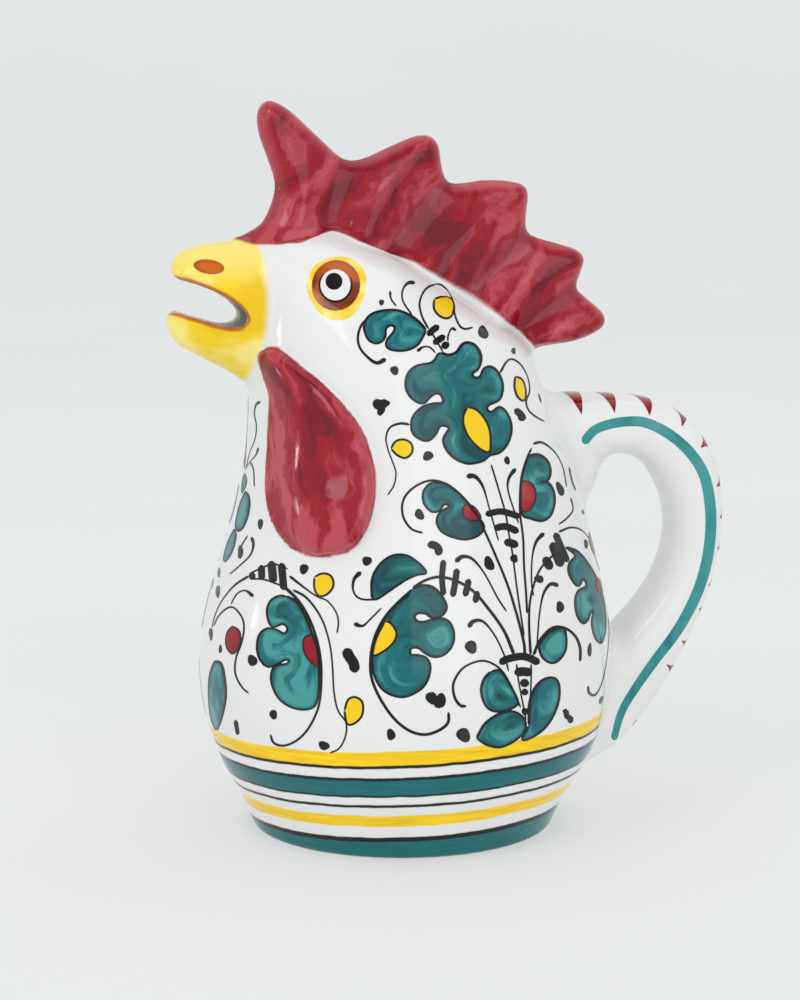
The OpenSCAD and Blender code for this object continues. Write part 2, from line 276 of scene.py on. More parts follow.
# Comb: a crest of five lobes pressed in a mould and luted along the crown. Each
# lobe is a soft fold that runs from its tip down to the root, with a hollow
# between it and the next.
COMB_EDGE = 5.4
COMB_TIP = 6.0
COMB_RISE = 34.0
COMB_SUNK = 12.0
# How much the hollows thin the crest, how fast they set in above its root, and the
# power by which the crest thins as it rises
HOLLOW_DEEP_SHARE = 0.42
HOLLOW_FADE = 2.5
COMB_THIN_POWER = 0.85
# Distance square to the comb's leaning face, as a share of the distance sideways
COMB_FACE_SHARE = 0.94
# Keeps the tops of the folds round, in mm
FOLD_ROUND = 0.6
# Half thickness of the crest's root: x, then half thickness, in mm
COMB_ROOT = ((-58, 9), (-45, 11), (-20, 11), (-4, 14), (8, 15), (16, 18), (23, 20.5),
             (31, 19), (39, 13), (46, 10), (70, 8))
# The crest seen from the side: x and z in mm, from the beak over the five tips
COMB_OUTLINE = (
    (-57.0, 203.0), (-54.5, 204.5), (-48.3, 209.2), (-44.8, 216.6), (-44.1, 223.2),
    (-46.1, 230.0), (-49.0, 238.2), (-49.7, 244.9), (-47.9, 248.6), (-44.6, 249.6),
    (-38.5, 246.3), (-31.0, 239.6), (-23.2, 232.6), (-18.7, 230.2), (-12.8, 230.8),
    (-4.2, 234.5), (4.5, 237.9), (9.7, 237.8), (12.5, 234.8), (13.6, 229.8),
    (15.3, 224.0), (18.5, 222.2), (27.3, 223.0), (36.1, 222.8), (42.3, 221.3),
    (44.1, 217.8), (43.8, 210.9), (44.5, 205.6), (48.7, 203.2), (55.9, 200.9),
    (62.0, 198.7), (64.3, 195.3), (63.1, 190.1), (62.3, 186.0), (65.0, 182.8),
    (70.5, 177.8), (72.0, 174.3), (69.9, 170.9), (61.6, 167.4), (52.6, 166.0),
    (45.4, 164.5), (34.0, 160.0), (18.0, 175.0), (0.0, 190.0), (-20.0, 197.0),
    (-40.0, 198.0), (-54.0, 200.0))
# The folds and the hollows between them: x and z from the crest to the root
COMB_FOLDS = (
    ((-46.0, 248.0), (-36.0, 222.0), (-38.0, 200.0)),
    ((9.0, 237.0), (-8.0, 217.0), (-17.0, 200.0)),
    ((42.0, 220.0), (20.0, 203.0), (7.0, 188.0)),
    ((62.0, 197.0), (43.0, 186.0), (29.0, 174.0)),
    ((71.0, 174.5), (55.0, 171.5), (40.0, 165.0)))
COMB_HOLLOWS = (
    ((-44.5, 220.0), (-49.0, 212.0), (-57.0, 206.0)),
    ((-18.7, 230.0), (-25.0, 215.0), (-27.0, 202.0)),
    ((16.0, 223.0), (3.0, 210.0), (-7.0, 196.0)),
    ((44.5, 205.0), (31.0, 195.0), (18.0, 182.0)),
    ((62.0, 186.0), (50.0, 179.0), (36.0, 169.0)),
    ((50.0, 163.0), (44.0, 163.0), (38.0, 161.0)))


def smooth_line(points, closed, per_span):
    """Points along a soft curve through the given ones."""
    row = np.array(points, dtype=float)
    if closed:
        row = np.concatenate([row[-1:], row, row[:2]])
    else:
        row = np.concatenate([2 * row[:1] - row[1:2], row, 2 * row[-1:] - row[-2:-1]])
    curve = []
    for i in range(1, len(row) - 2):
        a, b, c, d = row[i - 1:i + 3]
        for t in np.arange(per_span) / per_span:
            curve.append(0.5 * (2 * b + (c - a) * t + (2 * a - 5 * b + 4 * c - d) * t ** 2
                                + (3 * b - a - 3 * c + d) * t ** 3))
    if not closed:
        curve.append(row[-2])
    return np.array(curve)


def line_gap(px, pz, line, closed=False):
    """Distance to a line in the flat, negative inside a closed one."""
    near = np.full(px.shape, 1e6)
    inside = np.zeros(px.shape, dtype=bool)
    ends = np.roll(line, -1, axis=0) if closed else line[1:]
    for (ax, az), (bx, bz) in zip(line, ends):
        dx = bx - ax
        dz = bz - az
        t = np.clip(((px - ax) * dx + (pz - az) * dz) / (dx * dx + dz * dz), 0, 1)
        near = np.minimum(near, np.hypot(px - ax - dx * t, pz - az - dz * t))
        if closed and az != bz:
            beyond = px < ax + (pz - az) * dx / dz
            inside ^= ((az > pz) != (bz > pz)) & beyond
    return np.where(inside, -near, near)


CREST_STEP = 0.8
CREST_X = np.arange(-66.0, 82.0, CREST_STEP)
CREST_Z = np.arange(148.0, 262.0, CREST_STEP)
OFF_CREST = 8.0
flat_x, flat_z = np.meshgrid(CREST_X, CREST_Z, indexing="ij")
crest_gap = line_gap(flat_x, flat_z, smooth_line(COMB_OUTLINE, True, 4), True)
to_fold, to_hollow = (
    np.min([line_gap(flat_x, flat_z, smooth_line(row, False, 4)) for row in rows], axis=0)
    for rows in (COMB_FOLDS, COMB_HOLLOWS))
fold_share = to_hollow / (to_hollow + to_fold + FOLD_ROUND)
fold_swell = HOLLOW_DEEP_SHARE * (0.5 + 0.5 * np.cos(np.pi * fold_share))
crown_side = np.concatenate([np.stack([-FRONT, LEVELS], axis=1)[::10],
                             np.stack([BACK, LEVELS], axis=1)[::-10]])
crown_gap = line_gap(flat_x, flat_z, crown_side, True)
crest_rise = (crown_gap + COMB_SUNK) / (COMB_RISE + COMB_SUNK)
crest_rise = np.clip(crest_rise, 0, 1) ** COMB_THIN_POWER
crest_root = np.interp(flat_x, *zip(*COMB_ROOT))
crest_half = crest_root - (crest_root - COMB_TIP) * crest_rise
crest_half = crest_half * (1 - fold_swell * np.clip(crest_rise * HOLLOW_FADE, 0, 1))


def on_crest(field, x, z):
    """Value of a side-view field, read between its points."""
    u = np.clip((x - CREST_X[0]) / CREST_STEP, 0, len(CREST_X) - 1.001)
    v = np.clip((z - CREST_Z[0]) / CREST_STEP, 0, len(CREST_Z) - 1.001)
    i = u.astype(int)
    j = v.astype(int)
    u = u - i
    v = v - j
    low = field[i, j] * (1 - u) + field[i + 1, j] * u
    high = field[i, j + 1] * (1 - u) + field[i + 1, j + 1] * u
    return low * (1 - v) + high * v


def comb_gap(x, y, z):
    """Distance outside the comb."""
    edge = on_crest(crest_gap, x, z)
    face = (np.abs(y) - on_crest(crest_half, x, z)) * COMB_FACE_SHARE
    gap = round_cut(edge, face, COMB_EDGE)
    away = np.maximum(np.maximum(CREST_Z[0] - z, x - CREST_X[-1]), CREST_X[0] - x)
    return np.where(away > 0, np.maximum(gap, OFF_CREST), gap)


# Handle: a strap pulled from a lump of clay, oval in section, pressed onto the
# shoulder above and spread flat on the belly below.
HANDLE_OUT = 43.0
HANDLE_H = 148.0
HANDLE_T = 18.0
HANDLE_W = 27.0
# Each row: the reach behind the belly's radius as a share of HANDLE_OUT, the
# height of HANDLE_H, the thickness of HANDLE_T and the width of HANDLE_W
STRAP_SECTIONS = (
    (-0.42, 0.918, 1.50, 1.20),
    (-0.21, 0.929, 1.32, 1.12),
    (-0.023, 0.933, 1.22, 1.06),
    (0.191, 0.932, 1.16, 1.00),
    (0.408, 0.916, 1.20, 1.00),
    (0.588, 0.876, 1.22, 1.00),
    (0.712, 0.820, 1.22, 1.00),
    (0.778, 0.755, 1.13, 1.00),
    (0.796, 0.690, 1.06, 1.00),
    (0.776, 0.630, 1.06, 1.00),
    (0.722, 0.571, 1.08, 1.01),
    (0.638, 0.513, 1.14, 1.03),
    (0.526, 0.457, 1.25, 1.06),
    (0.400, 0.405, 1.39, 1.10),
    (0.290, 0.362, 1.49, 1.14),
    (0.178, 0.316, 1.50, 1.16),
    (0.056, 0.268, 1.46, 1.16),
    (-0.080, 0.222, 1.42, 1.12),
    (-0.230, 0.180, 1.05, 1.04),
    (-0.400, 0.150, 0.60, 0.90))
STRAP_STATIONS = 161
numbered = [(i,) + row for i, row in enumerate(STRAP_SECTIONS)]
strap_stops = np.linspace(0, len(numbered) - 1, STRAP_STATIONS)
STRAP_X = BELLY_R + HANDLE_OUT * smooth_column(numbered, 1, strap_stops)
STRAP_Z = HANDLE_H * smooth_column(numbered, 2, strap_stops)
STRAP_T = HANDLE_T / 2 * smooth_column(numbered, 3, strap_stops)
STRAP_W = HANDLE_W / 2 * smooth_column(numbered, 4, strap_stops)
STRAP_RUN = np.concatenate([[0], np.cumsum(np.hypot(np.diff(STRAP_X), np.diff(STRAP_Z)))])
# Power of the strap's section: 2 is an oval, and more is squarer
STRAP_EDGE = 2.5
# The space round the strap, in mm, outside which it counts as far away
NEAR_X = 30
NEAR_Y = 30
NEAR_Z = (6, 170)
FAR_AWAY = 1e3
STRAP_LEAST_SLOPE = 0.03
AT_ONCE = 20000


def handle_gap(x, y, z):
    """Distance outside the strap."""
    gap = np.full(np.shape(x), FAR_AWAY)
    near = (x > NEAR_X) & (np.abs(y) < NEAR_Y) & (z > NEAR_Z[0]) & (z < NEAR_Z[1])
    if not near.any():
        return gap
    px = x[near]
    pz = z[near]
    py = y[near]
    pick = np.zeros(len(px), dtype=int)
    for start in range(0, len(px), AT_ONCE):
        part = slice(start, start + AT_ONCE)
        d = (px[part, None] - STRAP_X) ** 2 + (pz[part, None] - STRAP_Z) ** 2
        pick[part] = np.argmin(d, axis=1)
    tx = np.gradient(STRAP_X, STRAP_RUN)
    tz = np.gradient(STRAP_Z, STRAP_RUN)
    ahead = (px - STRAP_X[pick]) * tx[pick] + (pz - STRAP_Z[pick]) * tz[pick]
    here = STRAP_RUN[pick] + ahead
    cx = np.interp(here, STRAP_RUN, STRAP_X)
    cz = np.interp(here, STRAP_RUN, STRAP_Z)
    nx = -np.interp(here, STRAP_RUN, tz)
    nz = np.interp(here, STRAP_RUN, tx)
    thick = np.interp(here, STRAP_RUN, STRAP_T)
    wide = np.interp(here, STRAP_RUN, STRAP_W)
    a = ((px - cx) * nx + (pz - cz) * nz) / thick
    b = py / wide
    ra = np.abs(a) ** STRAP_EDGE
    rb = np.abs(b) ** STRAP_EDGE
    r = (ra + rb + 1e-9) ** (1 / STRAP_EDGE)
    ga = np.abs(a) ** (STRAP_EDGE - 1) / thick
    gb = np.abs(b) ** (STRAP_EDGE - 1) / wide
    steep = np.sqrt(ga * ga + gb * gb) / r ** (STRAP_EDGE - 1)
    past = np.maximum(here - STRAP_RUN[-1], -here)
    gap[near] = np.maximum((r - 1) / np.maximum(steep, STRAP_LEAST_SLOPE), past)
    return gap


# The thumb-pressed lump of clay under the strap's upper end: its middle in x and z,
# then its reach backward, sideways and upward, in mm
LUMP = (60.5, 127.0)
LUMP_REACH = (10.0, 12.0, 17.0)
LUMP_LEAST_SLOPE = 0.02


def lump_gap(x, y, z):
    """Distance outside the lump."""
    u = (x - LUMP[0]) / LUMP_REACH[0]
    v = y / LUMP_REACH[1]
    w = (z - LUMP[1]) / LUMP_REACH[2]
    r = np.sqrt(u * u + v * v + w * w) + 1e-6
    steep = np.sqrt((u / LUMP_REACH[0]) ** 2 + (v / LUMP_REACH[1]) ** 2
                    + (w / LUMP_REACH[2]) ** 2) / r
    return (r - 1) / np.maximum(steep, LUMP_LEAST_SLOPE)


# Luting: the pieces are joined wet with slip, so every seam is a smooth fillet
# and the finished clay is one skin, outside and inside. A SEAM is a fillet's
# width and an R a corner's radius, in mm.
BEAK_SEAM = 5.0
PAD_SEAM = 1.4
COMB_SEAM = 4.0
HANDLE_SEAM = 7.0
PASSAGE_SEAM = 2.0
BEAK_TIP_R = 4.0
FOOT_INNER_R = 0.6
HOLLOW_FLOOR_R = 6.0
HOLLOW_CROWN_R = 4.0
PASSAGE_TIP_R = 3.0
LIP_EDGE_R = 1.5
CUT_EDGE_R = 0.6
# Walls over the hollow's crown and at the beak's tip, and how far ahead of the
# axis the beak and the passage through it begin
CROWN_WALL = 6.5
TIP_WALL = 3
BEAK_START = 40
PASSAGE_START = 30


def face_gap(x, y, z, skin):
    """Distance outside the body with its beak, which the pads lie on."""
    beak = round_cut(beak_gap(x, y, z), front_gap(x, z), BEAK_TIP_R)
    return soft_join(skin, np.maximum(beak, x + BEAK_START), BEAK_SEAM)


def clay_gap(points):
    """Distance outside the finished clay."""
    x, y, z = points[:, 0], points[:, 1], points[:, 2]
    skin = body_gap(x, y, z)
    foot = round_cut(skin, -z, FOOT_EDGE_R)
    recess = np.maximum(np.hypot(x, y) - RECESS_R + z, z - RECESS_H)
    foot = round_cut(foot, -recess, FOOT_INNER_R)
    face = face_gap(x, y, z, foot)
    pads = wattle_gap(x, y, z, face_gap(x, y, z, skin))
    outer = soft_join(face, pads, PAD_SEAM)
    outer = soft_join(outer, comb_gap(x, y, z), COMB_SEAM)
    outer = soft_join(outer, handle_gap(x, y, z), HANDLE_SEAM)
    outer = soft_join(outer, lump_gap(x, y, z), HANDLE_SEAM)
    hollow = round_cut(skin + WALL, FLOOR_H - z, HOLLOW_FLOOR_R)
    hollow = round_cut(hollow, z - CROWN_H + CROWN_WALL, HOLLOW_CROWN_R)
    passage = np.maximum(beak_gap(x, y, z) + BEAK_WALL, x + PASSAGE_START)
    passage = round_cut(passage, front_gap(x, z) + TIP_WALL, PASSAGE_TIP_R)
    hollow = soft_join(hollow, passage, PASSAGE_SEAM)
    clay = round_cut(outer, -hollow, CUT_EDGE_R)
    return round_cut(clay, -mouth_gap(x, z), LIP_EDGE_R)


def clay_slope(points, step=0.15):
    """Direction in which the distance grows, at each point."""
    slope = np.zeros_like(points)
    for axis in range(3):
        move = np.zeros(3)
        move[axis] = step
        slope[:, axis] = (clay_gap(points + move) - clay_gap(points - move)) / (2 * step)
    return slope


def skin_mesh(low, high, pitch):
    """Quads round the clay, one point in each grid cell that the skin crosses."""
    count = np.ceil((np.array(high) - low) / pitch).astype(int) + 1
    axes = [low[i] + pitch * np.arange(count[i]) for i in range(3)]
    grid = np.zeros(count, dtype=np.float32)
    yy, zz = np.meshgrid(axes[1], axes[2], indexing="ij")
    for i, x in enumerate(axes[0]):
        sheet = np.stack([np.full(yy.size, x), yy.ravel(), zz.ravel()], axis=1)
        grid[i] = clay_gap(sheet).reshape(yy.shape)
    inside = grid < 0
    cells = count - 1
    total = np.zeros(tuple(cells) + (3,), dtype=np.float32)
    hits = np.zeros(tuple(cells), dtype=np.int16)
    corner = [np.arange(c) for c in cells]
    for axis in range(3):
        others = [i for i in range(3) if i != axis]
        for p in (0, 1):
            for q in (0, 1):
                shift = [0, 0, 0]
                shift[others[0]] = p
                shift[others[1]] = q
                near = tuple(slice(shift[i], shift[i] + cells[i]) for i in range(3))
                shift[axis] = 1
                far = tuple(slice(shift[i], shift[i] + cells[i]) for i in range(3))
                cross = inside[near] != inside[far]
                a = grid[near][cross]
                b = grid[far][cross]
                place = np.zeros((len(a), 3), dtype=np.float32)
                place[:, others[0]] = p
                place[:, others[1]] = q
                place[:, axis] = a / (a - b)
                total[cross] += place
                hits[cross] += 1
    used = hits > 0
    number = np.full(tuple(cells), -1, dtype=np.int64)
    number[used] = np.arange(used.sum())
    where = np.argwhere(used)
    points = low + pitch * (where + total[used] / hits[used][:, None])
    quads = []
    for axis in range(3):
        u = (axis + 1) % 3
        v = (axis + 2) % 3
        near = [slice(1, cells[i]) for i in range(3)]
        near[axis] = slice(0, cells[axis])
        far = list(near)
        far[axis] = slice(1, cells[axis] + 1)
        near = inside[tuple(near)]
        far = inside[tuple(far)]
        edge = np.argwhere(near != far)
        outward = near[tuple(edge.T)]
        for i in range(3):
            if i != axis:
                edge[:, i] += 1
        corners = []
        for p, q in ((0, 0), (1, 0), (1, 1), (0, 1)):
            cell = edge.copy()
            cell[:, u] -= 1 - p
            cell[:, v] -= 1 - q
            corners.append(number[tuple(cell.T)])
        quad = np.stack(corners, axis=1)
        quad[~outward] = quad[~outward][:, ::-1]
        quads.append(quad)
    return points.astype(float), np.concatenate(quads)


LEAST_SLOPE = 0.05
LONGEST_MOVE = 0.8


def settle(points, rounds=3):
    """Move points onto the skin along the slope of the distance."""
    for turn in range(rounds):
        slope = clay_slope(points)
        size = np.maximum((slope ** 2).sum(axis=1), LEAST_SLOPE)
        move = slope * (clay_gap(points) / size)[:, None]
        length = np.linalg.norm(move, axis=1)
        move *= np.minimum(1, LONGEST_MOVE / np.maximum(length, 1e-6))[:, None]
        points = points - move
    return points


# Corners of the space that holds the whole jug, and the mesh's pitch, in mm
SKIN_LOW = np.array([-84.6, -76.3, -2.2])
SKIN_HIGH = [118, 76, 254]
PITCH = 1.5
skin_points, skin_quads = skin_mesh(SKIN_LOW, SKIN_HIGH, PITCH)
skin_points = settle(skin_points)
skin_points[:, 2] = np.maximum(skin_points[:, 2], 0.0)
skin_slope = clay_slope(skin_points)
skin_normals = skin_slope / np.linalg.norm(skin_slope, axis=1)[:, None]


# The luted pieces, in the order that piece_numbers counts them
PIECE_NODES = ("base", "body", "head", "upper_beak", "lower_beak", "comb",
               "wattle_left", "wattle_right", "handle")
BASE, BODY, HEAD, UPPER_BEAK, LOWER_BEAK, COMB, LEFT_WATTLE, RIGHT_WATTLE, HANDLE = range(9)
POT, BEAK, CREST, STRAP, PAD = range(5)
SKIN_DEPTH = 1.0
# Where the beak takes over from the pot: x and z in mm, and how far off the pot
BEAK_ROOT_X = -48
BEAK_ROOT_Z = 160
OFF_POT = 1
# Half the strip along the throat that is left to the pot between the two pads
THROAT = 4


def piece_numbers(points):
    """Which luted piece each point belongs to."""
    x, y, z = points[:, 0], points[:, 1], points[:, 2]
    skin = body_gap(x, y, z)
    gaps = np.stack([skin, beak_gap(x, y, z), comb_gap(x, y, z),
                     handle_gap(x, y, z), wattle_gap(x, y, z, face_gap(x, y, z, skin))])
    gaps[BEAK] = np.where(x < -BEAK_START, gaps[BEAK], FAR_AWAY)
    part = np.argmin(gaps, axis=0)
    on_throat = (part == PAD) & (np.abs(y) < THROAT)
    part = np.where((skin < -WALL / 2) | on_throat, POT, part)
    beyond = (skin > OFF_POT) & (x < BEAK_ROOT_X) & (z > BEAK_ROOT_Z)
    part = np.where((part == POT) & beyond, BEAK, part)
    lip_mid = (at_reach(LIP_HIGH, x) + at_reach(LIP_LOW, x)) / 2
    names = np.where(z < FLOOR_H, BASE, np.where(z < NECK_H, BODY, HEAD))
    names = np.where(part == BEAK, np.where(z > lip_mid, UPPER_BEAK, LOWER_BEAK), names)
    names = np.where(part == CREST, COMB, names)
    names = np.where(part == PAD, np.where(y < 0, LEFT_WATTLE, RIGHT_WATTLE), names)
    return np.where(part == STRAP, HANDLE, names)


# How far the crimson was brushed beyond the comb's foot: x, then mm. Off the head's
# skin it goes further, by CLEAR_MORE for each mm past CLEAR_FROM, up to CLEAR_MOST.
# That fades out over CLEAR_FADE mm, to nothing CLEAR_END mm ahead of the axis.
RED_REACH = ((-56, 1.4), (-48, 2.2), (-38, 4.8), (-31, 3.5), (-26, 1.6), (-15, 1.1),
             (-6, 2.3), (2, 0.7), (9, 0.3), (23, 0.1), (35, 0.7), (46, 0.6))
CLEAR_MORE = 0.6
CLEAR_FROM = 3.4
CLEAR_MOST = 4
CLEAR_END = 42
CLEAR_FADE = 8
# How far the crimson goes past a pad's outline, and how far past the comb and the
# pads the strokes still take their directions, in mm
PAD_REACH = 0.6
COMB_MARGIN = 3
PAD_MARGIN = 4
PAD_FROM_Y = 2
# The comb's strokes run in this direction in x and z
COMB_STROKE = (0.64, 0.77)
# The crimson stays on the outside: nothing deeper in the clay than this is red
RED_DEEP = 2
# Distances that stand for nowhere near an edge
OFF_EDGE = 50.0
OFF_GOLD = 60.0
OFF_CREASE = 30.0
# The gold's edge on the head: how far ahead of the axis it lies at the height
# GOLD_Z, and how far forward it has curved GOLD_HALF above and below, in mm
GOLD_X = 48.0
GOLD_Z = 187.0
GOLD_CURVE = 4.0
GOLD_HALF = 24.0
GOLD_LOW = 148
# The rust line round the mouth: its width and depth inside the lip, and where the
# white of the hollow begins, in mm
LIP_WIDE = 0.9
LIP_DEEP = 1.9
LIP_START = 46
WHITE_DEEP = 2.6
WHITE_START = 44
WHITE_MOUTH = 0.3
# Keeps the noise on the two sides of the jug apart
SIDE_SHIFT = 300


def brush_marks(points):
    """Values that the glaze reads at each point of the skin."""
    x, y, z = points[:, 0], points[:, 1], points[:, 2]
    skin = body_gap(x, y, z)
    comb = comb_gap(x, y, z)
    strap = handle_gap(x, y, z)
    edge, height, pad_across = wattle_edge(x, y, z)
    side = np.sign(y)
    on_comb = comb < np.minimum(skin, strap) + COMB_MARGIN
    on_pad = (edge < PAD_MARGIN) & (np.abs(y) > PAD_FROM_Y) & ~on_comb
    along = np.where(on_comb, COMB_STROKE[0] * x + COMB_STROKE[1] * z, z)
    across = np.where(on_pad, pad_across, x)
    across = np.where(on_comb, COMB_STROKE[1] * x - COMB_STROKE[0] * z, across)
    outside = skin > -RED_DEEP
    pad = np.where(outside, edge, OFF_EDGE)
    off_head = np.clip(CLEAR_MORE * (skin - CLEAR_FROM), 0, CLEAR_MOST)
    off_head = off_head * np.clip((x + CLEAR_END) / CLEAR_FADE, 0, 1)
    comb_line = comb - np.interp(x, *zip(*RED_REACH)) - off_head
    red = np.minimum(np.where(outside, comb_line, OFF_EDGE), pad - PAD_REACH)
    # Distance to the comb's hollows, where the glaze is given painted shade
    crease = np.where(on_comb, on_crest(to_hollow, x, z), OFF_CREASE)
    gold = x + GOLD_X + GOLD_CURVE * ((z - GOLD_Z) / GOLD_HALF) ** 2
    gold = np.where((z > GOLD_LOW) & (skin > -WALL / 2), gold, OFF_GOLD)
    mouth = mouth_gap(x, z)
    depth = np.minimum(-beak_gap(x, y, z), -front_gap(x, z))
    lip = np.maximum(mouth - LIP_WIDE, depth - LIP_DEEP)
    lip = np.where(x < -LIP_START, lip, OFF_EDGE)
    inside = (mouth < WHITE_MOUTH) | (depth > WHITE_DEEP)
    inside = inside & (depth > LIP_DEEP) & (x < -WHITE_START)
    wet = np.where((skin < -WALL / 2) | inside, 1.0, 0.0)
    red = np.where(wet > 0.5, OFF_EDGE, red)
    # crest_edge places the painted highlight along the comb's rims
    return {"along": along, "across": across + SIDE_SHIFT * side, "red_edge": red,
            "gold_edge": gold, "lip_edge": lip, "hollow": wet,
            "crest_edge": np.where(on_comb, on_crest(crest_gap, x, z), -OFF_CREASE),
            "crease": crease, "strap_edge": strap}


skin_marks = brush_marks(skin_points)


# Glaze: white tin glaze over the whole jug, poured and fired, with majolica
# colours brushed on before the firing. They sink in and run a little, so they
# are streaky inside and darker where the brush stopped.
def fired(red, green, blue):
    """Linear colour from the tone seen on the fired jug."""
    tone = []
    for value in (red, green, blue):
        v = value / 255
        tone.append(v / 12.92 if v <= 0.04045 else ((v + 0.055) / 1.055) ** 2.4)
    return (tone[0], tone[1], tone[2], 1.0)


WHITE_GLAZE = fired(233, 233, 233)
CRIMSON = fired(154, 12, 30)
CRIMSON_DARK = fired(112, 4, 20)
CRIMSON_THIN = fired(187, 72, 82)
GOLD = fired(247, 212, 26)
GOLD_DEEP = fired(240, 196, 10)
GOLD_THIN = fired(251, 233, 132)
TEAL = fired(8, 104, 109)
TEAL_DARK = fired(0, 68, 76)
TEAL_THIN = fired(66, 152, 151)
LINE_BLACK = fired(9, 9, 12)
LEMON = fired(248, 204, 12)
RUST = fired(186, 84, 18)
BARE_CLAY = fired(140, 122, 100)
GLOSS = 0.33
GLAZE_IOR = 1.52
TO_MM = 1000.0


def add_node(tree, kind, **settings):
    """A new node with the given settings."""
    made = tree.nodes.new(kind)
    for key, value in settings.items():
        setattr(made, key, value)
    return made


def wire(tree, source, target):
    """A link from one socket to another."""
    tree.links.new(source, target)


def maths(tree, operation, first, second=None, third=None, clamp=False):
    """A Math node whose inputs are sockets or numbers."""
    made = add_node(tree, "ShaderNodeMath", operation=operation, use_clamp=clamp)
    for socket, value in zip(made.inputs, (first, second, third)):
        if value is None:
            continue
        if isinstance(value, bpy.types.NodeSocket):
            wire(tree, value, socket)
        else:
            socket.default_value = value
    return made.outputs[0]


def blend_colour(tree, share, first, second):
    """A Mix node for colours whose inputs are sockets or colours."""
    made = add_node(tree, "ShaderNodeMix", data_type="RGBA")
    sockets = (made.inputs[0], made.inputs[6], made.inputs[7])
    for socket, value in zip(sockets, (share, first, second)):
        if isinstance(value, bpy.types.NodeSocket):
            wire(tree, value, socket)
        else:
            socket.default_value = value
    return made.outputs[2]


def cloud(tree, place, scale, detail=3.0, roughness=0.55):
    """A soft noise over the given places."""
    made = add_node(tree, "ShaderNodeTexNoise")
    wire(tree, place, made.inputs["Vector"])
    made.inputs["Scale"].default_value = scale
    made.inputs["Detail"].default_value = detail
    made.inputs["Roughness"].default_value = roughness
    return made.outputs["Fac"]


def spread(tree, value, low, high, start=0.0, end=1.0):
    """A Map Range node that eases from start to end between low and high."""
    made = add_node(tree, "ShaderNodeMapRange", interpolation_type="SMOOTHSTEP")
    wire(tree, value, made.inputs["Value"])
    for key, number in (("From Min", low), ("From Max", high),
                        ("To Min", start), ("To Max", end)):
        made.inputs[key].default_value = number
    return made.outputs["Result"]


def new_group(name, values, results):
    """A shader node group with named float, colour or vector sockets."""
    group = bpy.data.node_groups.new(name, "ShaderNodeTree")
    for key, kind in values:
        group.interface.new_socket(name=key, in_out="INPUT", socket_type=kind)
    for key, kind in results:
        group.interface.new_socket(name=key, in_out="OUTPUT", socket_type=kind)
    return group, add_node(group, "NodeGroupInput"), add_node(group, "NodeGroupOutput")


def scaled_place(tree, place, along, across, height):
    """Places stretched by a factor on each axis."""
    made = add_node(tree, "ShaderNodeVectorMath", operation="MULTIPLY")
    wire(tree, place, made.inputs[0])
    made.inputs[1].default_value = (along, across, height)
    return made.outputs[0]


# Brushed colour: streaks along the brush with the marks of its hairs, thin where
# it ran dry and dark where it pooled
brushed, brushed_in, brushed_out = new_group(
    "brushed colour",
    (("Place", "NodeSocketVector"), ("Streak", "NodeSocketFloat"),
     ("Dark", "NodeSocketColor"), ("Full", "NodeSocketColor"),
     ("Thin", "NodeSocketColor"), ("Thinness", "NodeSocketFloat"),
     ("Hair", "NodeSocketFloat")),
    (("Colour", "NodeSocketColor"), ("Load", "NodeSocketFloat")))
streaks = cloud(brushed, brushed_in.outputs["Place"], 1.0, 3.5, 0.52)
pools = cloud(brushed, brushed_in.outputs["Place"], 0.31, 2.0, 0.5)
thin = maths(brushed, "ADD", streaks, maths(brushed, "MULTIPLY", pools, 0.9))
thin = maths(brushed, "SUBTRACT", thin, 0.45)
thin = maths(brushed, "MULTIPLY", maths(brushed, "SUBTRACT", thin, 0.5),
             brushed_in.outputs["Streak"])
hair_place = scaled_place(brushed, brushed_in.outputs["Place"], 0.6, 6.0, 1.0)
hairs = maths(brushed, "SUBTRACT", cloud(brushed, hair_place, 1.0, 2.5, 0.6), 0.5)
hairs = maths(brushed, "MULTIPLY", hairs, brushed_in.outputs["Hair"])
thin = maths(brushed, "ADD", thin, hairs)
load = maths(brushed, "ADD", thin, brushed_in.outputs["Thinness"], clamp=True)
washed = blend_colour(brushed, spread(brushed, load, 0.5, 1.0),
                      brushed_in.outputs["Full"], brushed_in.outputs["Thin"])
washed = blend_colour(brushed, spread(brushed, load, 0.0, 0.5, 1.0, 0.0),
                      washed, brushed_in.outputs["Dark"])
wire(brushed, washed, brushed_out.inputs["Colour"])
wire(brushed, load, brushed_out.inputs["Load"])


def brush_colour(tree, place, streak, thinness, dark, full, thin_colour, hair=0.0):
    """The brushed colour group with its values: its colour and how thin the paint is."""
    made = add_node(tree, "ShaderNodeGroup", node_tree=brushed)
    wire(tree, place, made.inputs["Place"])
    made.inputs["Streak"].default_value = streak
    made.inputs["Thinness"].default_value = thinness
    made.inputs["Dark"].default_value = dark
    made.inputs["Full"].default_value = full
    made.inputs["Thin"].default_value = thin_colour
    made.inputs["Hair"].default_value = hair
    return made.outputs["Colour"], made.outputs["Load"]


def mark(tree, name):
    """A value that the mesh carries at each of its points."""
    return add_node(tree, "ShaderNodeAttribute", attribute_name=name).outputs["Fac"]


glaze = bpy.data.materials.new("painted tin glaze")
glaze.use_nodes = True
gt = glaze.node_tree
gt.nodes.clear()
glaze_out = add_node(gt, "ShaderNodeOutputMaterial")
coat = add_node(gt, "ShaderNodeBsdfPrincipled")
wire(gt, coat.outputs["BSDF"], glaze_out.inputs["Surface"])
spot = add_node(gt, "ShaderNodeTexCoord").outputs["Object"]
wobble = maths(gt, "SUBTRACT", cloud(gt, spot, 55.0, 2.0), 0.5)
fine_wobble = maths(gt, "SUBTRACT", cloud(gt, spot, 240.0, 2.0), 0.5)
brush_at = add_node(gt, "ShaderNodeCombineXYZ")
wire(gt, mark(gt, "along"), brush_at.inputs[0])
wire(gt, mark(gt, "across"), brush_at.inputs[1])
brush_place = brush_at.outputs[0]

